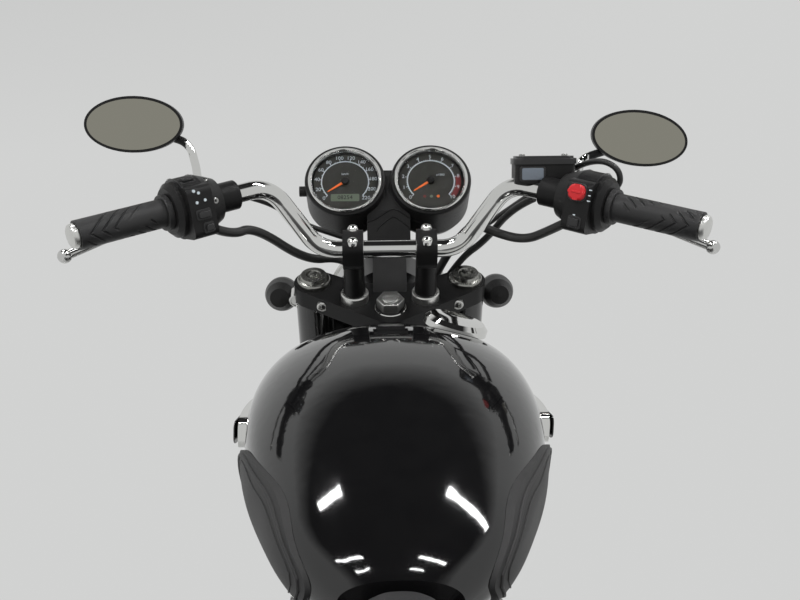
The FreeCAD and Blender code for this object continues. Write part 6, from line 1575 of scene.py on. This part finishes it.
@dataclass
class BrakeTrim:
    """Bolts that hold the discs to their carriers, and the caps of the calipers' pistons.

    Attributes:
        calipers: Each caliper's node, its body, and its caps' places along and up from its middle.
    """

    discs: tuple[tuple[str, Body, float], ...] = (("front_disc", Body.FRONT_WHEEL, 127.0),
                                                  ("rear_disc", Body.REAR_WHEEL, 99.0))
    calipers: tuple[tuple[str, Body, tuple[Flat, ...]], ...] = (
        ("front_caliper", Body.STEERING, ((-28.0, 0.0),)),
        ("rear_caliper", Body.ROOT, ((-17.0, 50.0), (17.0, 50.0))))
    bolts: int = 6
    reach: float = 0.05

    def build(self, nodes: dict[str, bpy.types.Object]) -> None:
        """Builds the bolts and the caps.

        Args:
            nodes: The CAD nodes by name.
        """
        for name, body, radius in self.discs:
            _, middle, high = node_box(name)
            head = bmesh.new()
            add_stud(head, 5.4, 4.6, 4.4, 16, (0, 0, radius))
            ring = repeated(head, round_tree(), {"Count": self.bolts, "Finish": STEEL.material()})
            piece = Piece(name + "_bolts", body, (STEEL,))
            piece.take(ring, STEEL, Matrix.Translation((high.x, middle.y, middle.z)), mend=False)
            piece.settle()
        for name, body, places in self.calipers:
            _, middle, high = node_box(name)
            face = skin(nodes[name])
            piece = Piece(name + "_caps", body, (STEEL,))
            for along, rise in places:
                start = Vector((high.x + self.reach, middle.y + along * MM, middle.z + rise * MM))
                at = face.ray_cast(start, -RIGHT)[0]
                piece.turned(((0, -1), (13.5, -1), (13.5, 1.6), (12.6, 2.4), (8.6, 2.4), (8.0, 1.4),
                              (0, 1.4)), facing(at, RIGHT), STEEL, 40)
            piece.settle()


@dataclass
class BracketRibs:
    """Raised ribs on the bracket between the clocks, placed by their pixels in the photograph."""

    ribs_px: tuple[tuple[Flat, ...], ...] = (
        ((364.0, 224.0), (376.0, 219.0), (388.0, 211.0), (393.5, 209.0), (399.0, 211.0), (411.0, 219.0),
         (423.0, 224.0)),
        ((377.0, 231.0), (379.0, 227.0), (390.0, 218.0), (393.5, 217.0), (397.0, 218.0), (409.0, 227.0),
         (411.0, 231.0)))
    rib_r: float = 0.9
    steps: int = 8

    def build(self, nodes: dict[str, bpy.types.Object]) -> None:
        """Builds the ribs.

        Args:
            nodes: The CAD nodes by name.
        """
        cups = skin(nodes["instrument_cups"])
        camera = bpy.context.scene.camera
        eye = camera.matrix_world.translation
        turn = camera.matrix_world.to_3x3()
        piece = Piece("clock_bracket_ribs", Body.STEERING, (SATIN_BLACK,))
        for corners in self.ribs_px:
            line = []
            for (x_start, y_start), (x_end, y_end) in zip(corners, corners[1:]):
                for step in range(self.steps):
                    share = step / self.steps
                    across = x_start + (x_end - x_start) * share - PHOTO_WIDTH_PX / 2
                    down = y_start + (y_end - y_start) * share - PHOTO_HEIGHT_PX / 2
                    ray = turn @ Vector((across, -down, -Studio.focal_px))
                    at = cups.ray_cast(eye, ray.normalized())[0]
                    if at is not None:
                        line.append(at)
            piece.pipe(line, self.rib_r, SATIN_BLACK)
        piece.settle()


@dataclass
class TankTrim:
    """Raised beads round the knee pads, and a plain frame with an enamel field on each badge.

    Attributes:
        beads: Each bead's distance in from the pad's edge, and its radius.
    """

    beads: tuple[Flat, ...] = ((6.0, 2.0), (14.4, 1.0))
    bead_steps: int = 72
    reach: float = 260.0
    edge_tries: int = 16
    badge_margin: float = 9.0
    badge_bars: int = 3
    bar_pitch: float = 0.26

    def touch(self, tree: BVHTree, side: int, y: float, z: float) -> Vector | None:
        """Returns where a level line from one side, at metres along and up, first meets the skin."""
        start = Vector((side * self.reach * MM, y, z))
        return tree.ray_cast(start, -RIGHT * side, self.reach * MM)[0]

    def edge(self, tree: BVHTree, side: int, middle: Vector, turn: float) -> float:
        """Returns how far a pad reaches from its middle in one direction of its side view, in metres."""
        near, far = 0.0, self.reach * MM
        for _ in range(self.edge_tries):
            guess = (near + far) / 2
            at = self.touch(tree, side, middle.y + guess * math.cos(turn), middle.z + guess * math.sin(turn))
            near, far = (guess, far) if at is not None and at.x * side > 0 else (near, guess)
        return near

    def build(self, nodes: dict[str, bpy.types.Object]) -> None:
        """Builds the beads and the badge fields.

        Args:
            nodes: The CAD nodes by name.
        """
        pads = skin(nodes["knee_pads"])
        _, middle, _ = node_box("knee_pads")
        piece = Piece("knee_pad_beads", Body.ROOT, (PAD_RUBBER,))
        for side in (-1, 1):
            for inset, radius in self.beads:
                line = []
                for step in range(self.bead_steps):
                    turn = FULL_TURN * step / self.bead_steps
                    out = self.edge(pads, side, middle, turn) - inset * MM
                    line.append(self.touch(pads, side, middle.y + out * math.cos(turn),
                                           middle.z + out * math.sin(turn)))
                piece.pipe(line, radius, PAD_RUBBER, closed=True)
        piece.settle()
        self.badges(skin(nodes["tank_badges"]))

    def badges(self, tree: BVHTree) -> None:
        """Builds an enamel field and plain bars on each badge."""
        low, middle, high = node_box("tank_badges")
        half_y, half_z = (high.y - low.y) / 2, (high.z - low.z) / 2
        piece = Piece("badge_fields", Body.ROOT, (CHROME, LACQUER))
        for side in (-1, 1):
            centre = self.touch(tree, side, middle.y, middle.z)
            ahead = self.touch(tree, side, middle.y + half_y * 0.6, middle.z)
            above = self.touch(tree, side, middle.y, middle.z + half_z * 0.6)
            normal = (ahead - centre).cross(above - centre).normalized()
            place = facing(centre, normal if normal.x * side > 0 else -normal)
            width, height = half_y * 2 / MM - self.badge_margin, half_z * 2 / MM - self.badge_margin
            piece.slab(rounded_outline(width, height, height * 0.3), -0.6, 0.7, place, LACQUER, 0.3)
            bar = rounded_outline(width * 0.78, height * 0.1, height * 0.045)
            for number in range(self.badge_bars):
                rise = (number - (self.badge_bars - 1) / 2) * height * self.bar_pitch
                piece.slab(bar, 0.2, 1.5, shifted(place, 0, rise), CHROME, 0.3)
        piece.settle()


@dataclass
class EngineTrim:
    """Screws round the engine's covers, cam box nuts, plug caps and cover rings.

    Attributes:
        covers: Each cover's side, its middle along and up, its radius and its depth.
        cam_end_at: The cam boxes' end caps, out from the middle and up.
    """

    case_x: float = 118.0
    covers: tuple[tuple[int, float, float, float, float], ...] = (
        (1, 780.0, 388.0, 92.0, 46.0), (1, 920.0, 388.0, 62.0, 32.2), (-1, 912.0, 388.0, 76.0, 46.0))
    cover_screws: int = 8
    plugs_x: Flat = (-62.0, 62.0)
    plug_at: Flat = (909.0, 722.0)
    cam_ends: Flat = (874.0, 944.0)
    cam_end_at: Flat = (110.0, 718.0)

    def build(self) -> None:
        """Builds the trim."""
        piece = Piece("engine_fasteners", Body.ROOT, (STEEL, POLISHED, PLASTIC, CHROME))
        for side, y, z, radius, depth in self.covers:
            face = facing(spot(side * self.case_x, y, z), RIGHT * side)
            self.screws(piece, face.translation, RIGHT * side, radius - 7.5, depth * 0.62)
            inner = radius * 0.44
            piece.turned(((inner, depth - 2), (inner + 4, depth - 2), (inner + 3.4, depth + 1.6),
                          (inner + 0.6, depth + 1.6), (inner, depth - 2)), face, POLISHED, 64)
            piece.turned(((0, depth - 2), (radius * 0.24, depth - 2), (radius * 0.24, depth + 1.4),
                          (radius * 0.2, depth + 2.2), (0, depth + 2.2)), face, POLISHED)
        for x in self.plugs_x:
            piece.turned(((0, -6), (13, -6), (13, 12), (10, 16), (8.5, 34), (7, 38), (0, 38)),
                         facing(spot(x, *self.plug_at), UP, AHEAD), PLASTIC, 32)
        out, rise = self.cam_end_at
        for side in (-1, 1):
            for y in self.cam_ends:
                piece.turned(((0, -2), (17, -2), (17, 2.0), (15, 3.6), (6, 4.6), (0, 4.6)),
                             facing(spot(side * out, y, rise), RIGHT * side), CHROME, 40)
        piece.settle()

    def screws(self, piece: Piece, centre: Vector, axis: Vector, radius: float, high: float) -> None:
        """Adds a ring of screws to a cover.

        Args:
            piece: The piece that they join.
            centre: The cover's middle on the case.
            axis: The way that it faces.
            radius: Radius of the ring.
            high: Height of the heads' undersides.
        """
        head = bmesh.new()
        add_stud(head, 5.0, 4.6, 6.0, 14, (high + 1, 0, radius))
        ring = repeated(head, round_tree(), {"Count": self.cover_screws, "Finish": STEEL.material()})
        piece.take(ring, STEEL, round_about(centre, axis), mend=False)


@dataclass
class HeadlampInside:
    """Reflector and bulb behind the lens."""

    ahead: float = 167.5
    rise: float = 627.1
    rim_r: float = 80.0
    back: float = -28.0
    depth: float = 60.0
    skin: float = 0.8
    steps: int = 12

    def build(self) -> None:
        """Builds the bowl and the bulb."""
        place = facing(steer_spot(0, self.ahead, self.rise), AHEAD)
        piece = Piece("headlamp_reflector", Body.STEERING, (CHROME, STEEL))
        back = self.back
        bowl = [(self.rim_r * (k / self.steps) ** 0.5, back + self.depth * k / self.steps)
                for k in range(1, self.steps + 1)]
        outside = [(radius + self.skin, height - self.skin) for radius, height in reversed(bowl)]
        piece.turned([(0, back)] + bowl + outside + [(0, back - 1)], place, CHROME, 72)
        piece.turned(((0, back), (9, back), (9, back + 18), (7, back + 26), (0, back + 30)), place, STEEL, 32)
        piece.settle()


@dataclass
class SeatPad:
    """The padded seat: swollen by cloth simulation, then seamed and piped. Its sizes are in metres.

    Attributes:
        cap: How far a point may move.
        rails_z: Height under which the pad is held.
        channel_reach: How wide one side of a channel is.
        top_from: Upward share of the normal at which the top starts.
        top_fade: Over what further share a channel reaches its depth.
    """

    voxel: float = 0.005
    pressure: float = 4.0
    frames: int = 20
    shrink: float = 0.003
    cap: float = 0.0045
    seam_z: float = 0.792
    rails_z: float = 0.764
    channels: tuple[float, ...] = (-0.500, -0.436, -0.372, -0.308, -0.244)
    channel_depth: float = 0.0032
    channel_reach: float = 0.0045
    top_from: float = 0.25
    top_fade: float = 0.4
    pipe_out: float = 0.0006
    pipe_r: float = 2.2
    base_ends: Flat = (-0.235, -0.838)
    base_steps: int = 24
    base_share: float = 0.9
    base_low: float = 0.7494
    base_high: float = 0.776

    def build(self, nodes: dict[str, bpy.types.Object]) -> None:
        """Builds the pad.

        Args:
            nodes: The CAD nodes by name.
        """
        start = bmesh.new()
        start.from_mesh(nodes["seat"].data)
        bmesh.ops.remove_doubles(start, verts=start.verts, dist=1e-5)
        start.transform(nodes["seat"].matrix_world)
        start.normal_update()
        for vert in start.verts:
            vert.co -= vert.normal * self.shrink
        mesh = bpy.data.meshes.new("seat_pad")
        start.to_mesh(mesh)
        start.free()
        pad = bpy.data.objects.new("seat_pad", mesh)
        bpy.context.scene.collection.objects.link(pad)
        remesh = pad.modifiers.new("remesh", "REMESH")
        remesh.mode = "VOXEL"
        remesh.voxel_size = self.voxel
        self.bake(pad)
        before = [vert.co.copy() for vert in pad.data.vertices]
        self.swell(pad)
        self.hold_back(pad, before)
        even = pad.modifiers.new("even", "SMOOTH")
        even.factor = 0.5
        even.iterations = 3
        finer = pad.modifiers.new("finer", "SUBSURF")
        finer.levels = 1
        finer.render_levels = 1
        self.bake(pad)
        self.sew(pad)
        pad.data.materials.clear()
        pad.data.materials.append(VINYL.material())
        pad.data.shade_smooth()
        self.pipe_round(pad)
        self.lay_base(nodes["seat"])
        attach(pad, Body.ROOT.value)
        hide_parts("seat")
        LOG.info("padded the seat with %d faces", len(pad.data.polygons))

    def lay_base(self, seat: bpy.types.Object) -> None:
        """Lays the moulded base between the frame's rails and the pad.

        Args:
            seat: The CAD node of the seat, whose outline the base follows.
        """
        outline = skin(seat)
        front, rear = self.base_ends
        edge = []
        for step in range(self.base_steps + 1):
            share = step / self.base_steps
            y = front + (rear - front) * share
            at = outline.ray_cast(Vector((0.3, y, self.seam_z)), -RIGHT)[0]
            narrow = self.base_share * min(1.0, 0.72 + 2.2 * min(share, 1 - share))
            edge.append((at.x * narrow / MM, y / MM))
        corners = edge + [(-x, y) for x, y in reversed(edge)]
        piece = Piece("seat_base", Body.ROOT, (PLASTIC,))
        piece.slab(corners[::-1], self.base_low / MM, self.base_high / MM, Matrix.Identity(4), PLASTIC, 2.0)
        piece.settle()

    def bake(self, pad: bpy.types.Object) -> None:
        """Applies every modifier of the pad."""
        bpy.context.view_layer.update()
        graph = bpy.context.evaluated_depsgraph_get()
        made = bpy.data.meshes.new_from_object(pad.evaluated_get(graph), depsgraph=graph)
        pad.modifiers.clear()
        pad.data = made

    def swell(self, pad: bpy.types.Object) -> None:
        """Swells the pad with cloth pressure, its underside held by the pan."""
        held = pad.vertex_groups.new(name="pan")
        held.add([vert.index for vert in pad.data.vertices if vert.co.z < self.rails_z], 1.0, "REPLACE")
        cloth = pad.modifiers.new("cloth", "CLOTH")
        cloth.settings.use_pressure = True
        cloth.settings.uniform_pressure_force = self.pressure
        cloth.settings.vertex_group_mass = "pan"
        cloth.settings.effector_weights.gravity = 0.0
        cloth.settings.quality = 5
        cloth.collision_settings.use_self_collision = False
        scene = bpy.context.scene
        for frame in range(1, self.frames + 1):
            scene.frame_set(frame)
        self.bake(pad)
        scene.frame_set(1)

    def hold_back(self, pad: bpy.types.Object, before: Sequence[Vector]) -> None:
        """Caps how far each point has moved.

        Args:
            pad: The swollen pad.
            before: Where its points were.
        """
        for vert, old in zip(pad.data.vertices, before):
            moved = vert.co - old
            if moved.length > self.cap:
                vert.co = old + moved.normalized() * self.cap

    def sew(self, pad: bpy.types.Object) -> None:
        """Presses the sewn channels into the top."""
        for vert in pad.data.vertices:
            if vert.normal.z < self.top_from:
                continue
            top = min(1.0, (vert.normal.z - self.top_from) / self.top_fade)
            for line in self.channels:
                away = (vert.co.y - line) / self.channel_reach
                if abs(away) < 3:
                    vert.co.z -= self.channel_depth * math.exp(-away * away) * top

    def pipe_round(self, pad: bpy.types.Object) -> None:
        """Lays the piping where the top meets the side."""
        cut = bmesh.new()
        cut.from_mesh(pad.data)
        found = bmesh.ops.bisect_plane(cut, geom=cut.verts[:] + cut.edges[:] + cut.faces[:], dist=1e-6,
                                       plane_co=(0, 0, self.seam_z), plane_no=(0, 0, 1))
        rim = [item for item in found["geom_cut"] if isinstance(item, bmesh.types.BMVert)]
        centre = sum((vert.co for vert in rim), Vector()) / len(rim)
        rim.sort(key=lambda vert: math.atan2((vert.co.x - centre.x) * 3.0, vert.co.y - centre.y))
        line = [vert.co + vert.normal.cross(UP).cross(-UP).normalized() * self.pipe_out for vert in rim]
        cut.free()
        wide = 4
        eased = []
        for k in range(0, len(line), 3):
            near = [line[(k + step) % len(line)] for step in range(-wide, wide + 1)]
            eased.append(sum(near, Vector()) / len(near))
        piece = Piece("seat_piping", Body.ROOT, (VINYL,))
        piece.pipe(eased, self.pipe_r, VINYL, closed=True)
        piece.settle()


@dataclass
class Regions:
    """Parts of CAD nodes that have another finish than the rest, such as the mirrors' stalks.

    Attributes:
        mirror_middle: The mirrors' heads, out from the bike's middle and up, in metres as all of these.
        mirror_half: Half a head's width and height.
        tail_lens: The rear lamp's lens: behind this, within this and above this.
        rear_amber: The rear indicators' lenses: outside this and behind this.
        front_amber: The front indicators' lenses: outside this and ahead of this.
    """

    mirror_middle: Flat = (0.301, 1.186)
    mirror_half: Flat = (0.0585, 0.047)
    tail_lens: Point = (-1.098, 0.045, 0.61)
    rear_amber: Flat = (0.1, -0.990)
    front_amber: Flat = (0.125, 0.4995)
    lamp_rim_y: float = 0.6165
    damper_rod_z: float = 0.62
    lever_perch_x: float = 0.203

    def off_head(self, p: Vector) -> bool:
        """Says whether a point lies outside the mirrors' heads."""
        return (abs(abs(p.x) - self.mirror_middle[0]) > self.mirror_half[0]
                or abs(p.z - self.mirror_middle[1]) > self.mirror_half[1])

    def in_tail_lens(self, p: Vector) -> bool:
        """Says whether a point lies in the rear lamp's lens."""
        behind, within, above = self.tail_lens
        return p.y < behind and abs(p.x) < within and p.z > above

    def build(self, nodes: dict[str, bpy.types.Object]) -> None:
        """Gives every CAD node its finish, and some parts a second one.

        Args:
            nodes: The CAD nodes by name.
        """
        for finish, names in NODES_BY_FINISH:
            for name in names.split():
                nodes[name].data.materials.clear()
                nodes[name].data.materials.append(finish.material())
                LOG.info("dressed %s in %s", name, finish.name)
        regions: tuple[tuple[str, Finish, Callable[[Vector], bool]], ...] = (
            ("mirrors", CHROME, self.off_head),
            ("rear_lamps", RED_LENS, self.in_tail_lens),
            ("rear_lamps", AMBER_LENS, lambda p: abs(p.x) > self.rear_amber[0] and p.y < self.rear_amber[1]),
            ("front_indicators", AMBER_LENS,
             lambda p: abs(p.x) > self.front_amber[0] and p.y > self.front_amber[1]),
            ("headlamp_shell", CHROME, lambda p: p.y > self.lamp_rim_y),
            ("rear_dampers", CHROME, lambda p: p.z > self.damper_rod_z),
            ("hand_levers", SATIN_BLACK, lambda p: abs(p.x) < self.lever_perch_x))
        for name, finish, inside in regions:
            self.dress(nodes[name], finish, inside)

    def dress(self, node: bpy.types.Object, finish: Finish, inside: Callable[[Vector], bool]) -> None:
        """Gives the faces of a CAD node in one region a second finish.

        Args:
            node: The CAD node.
            finish: The second finish.
            inside: Says of a face's middle, in metres, whether it lies in the region.
        """
        mesh = node.data
        mesh.materials.append(finish.material())
        for face in mesh.polygons:
            if inside(node.matrix_world @ face.center):
                face.material_index = len(mesh.materials) - 1


def main() -> None:
    """Loads the frame, dresses it and builds the pieces."""
    logging.basicConfig(level=logging.INFO, format="%(message)s")
    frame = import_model()
    view = bpy.context.scene.view_settings
    view.view_transform = "Standard"
    Studio().build()
    nodes = frame["nodes"]
    Regions().build(nodes)
    Cables().build()
    Clocks().build()
    BarEnds().build()
    FluidBox().build()
    YokeTrim().build()
    BracketRibs().build(nodes)
    for tyre in TYRES:
        tyre.build()
    RollerChain().build()
    EngineTrim().build()
    BrakeTrim().build(nodes)
    TankTrim().build(nodes)
    HeadlampInside().build()
    SeatPad().build(nodes)
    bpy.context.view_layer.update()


if __name__ == "__main__":
    main()
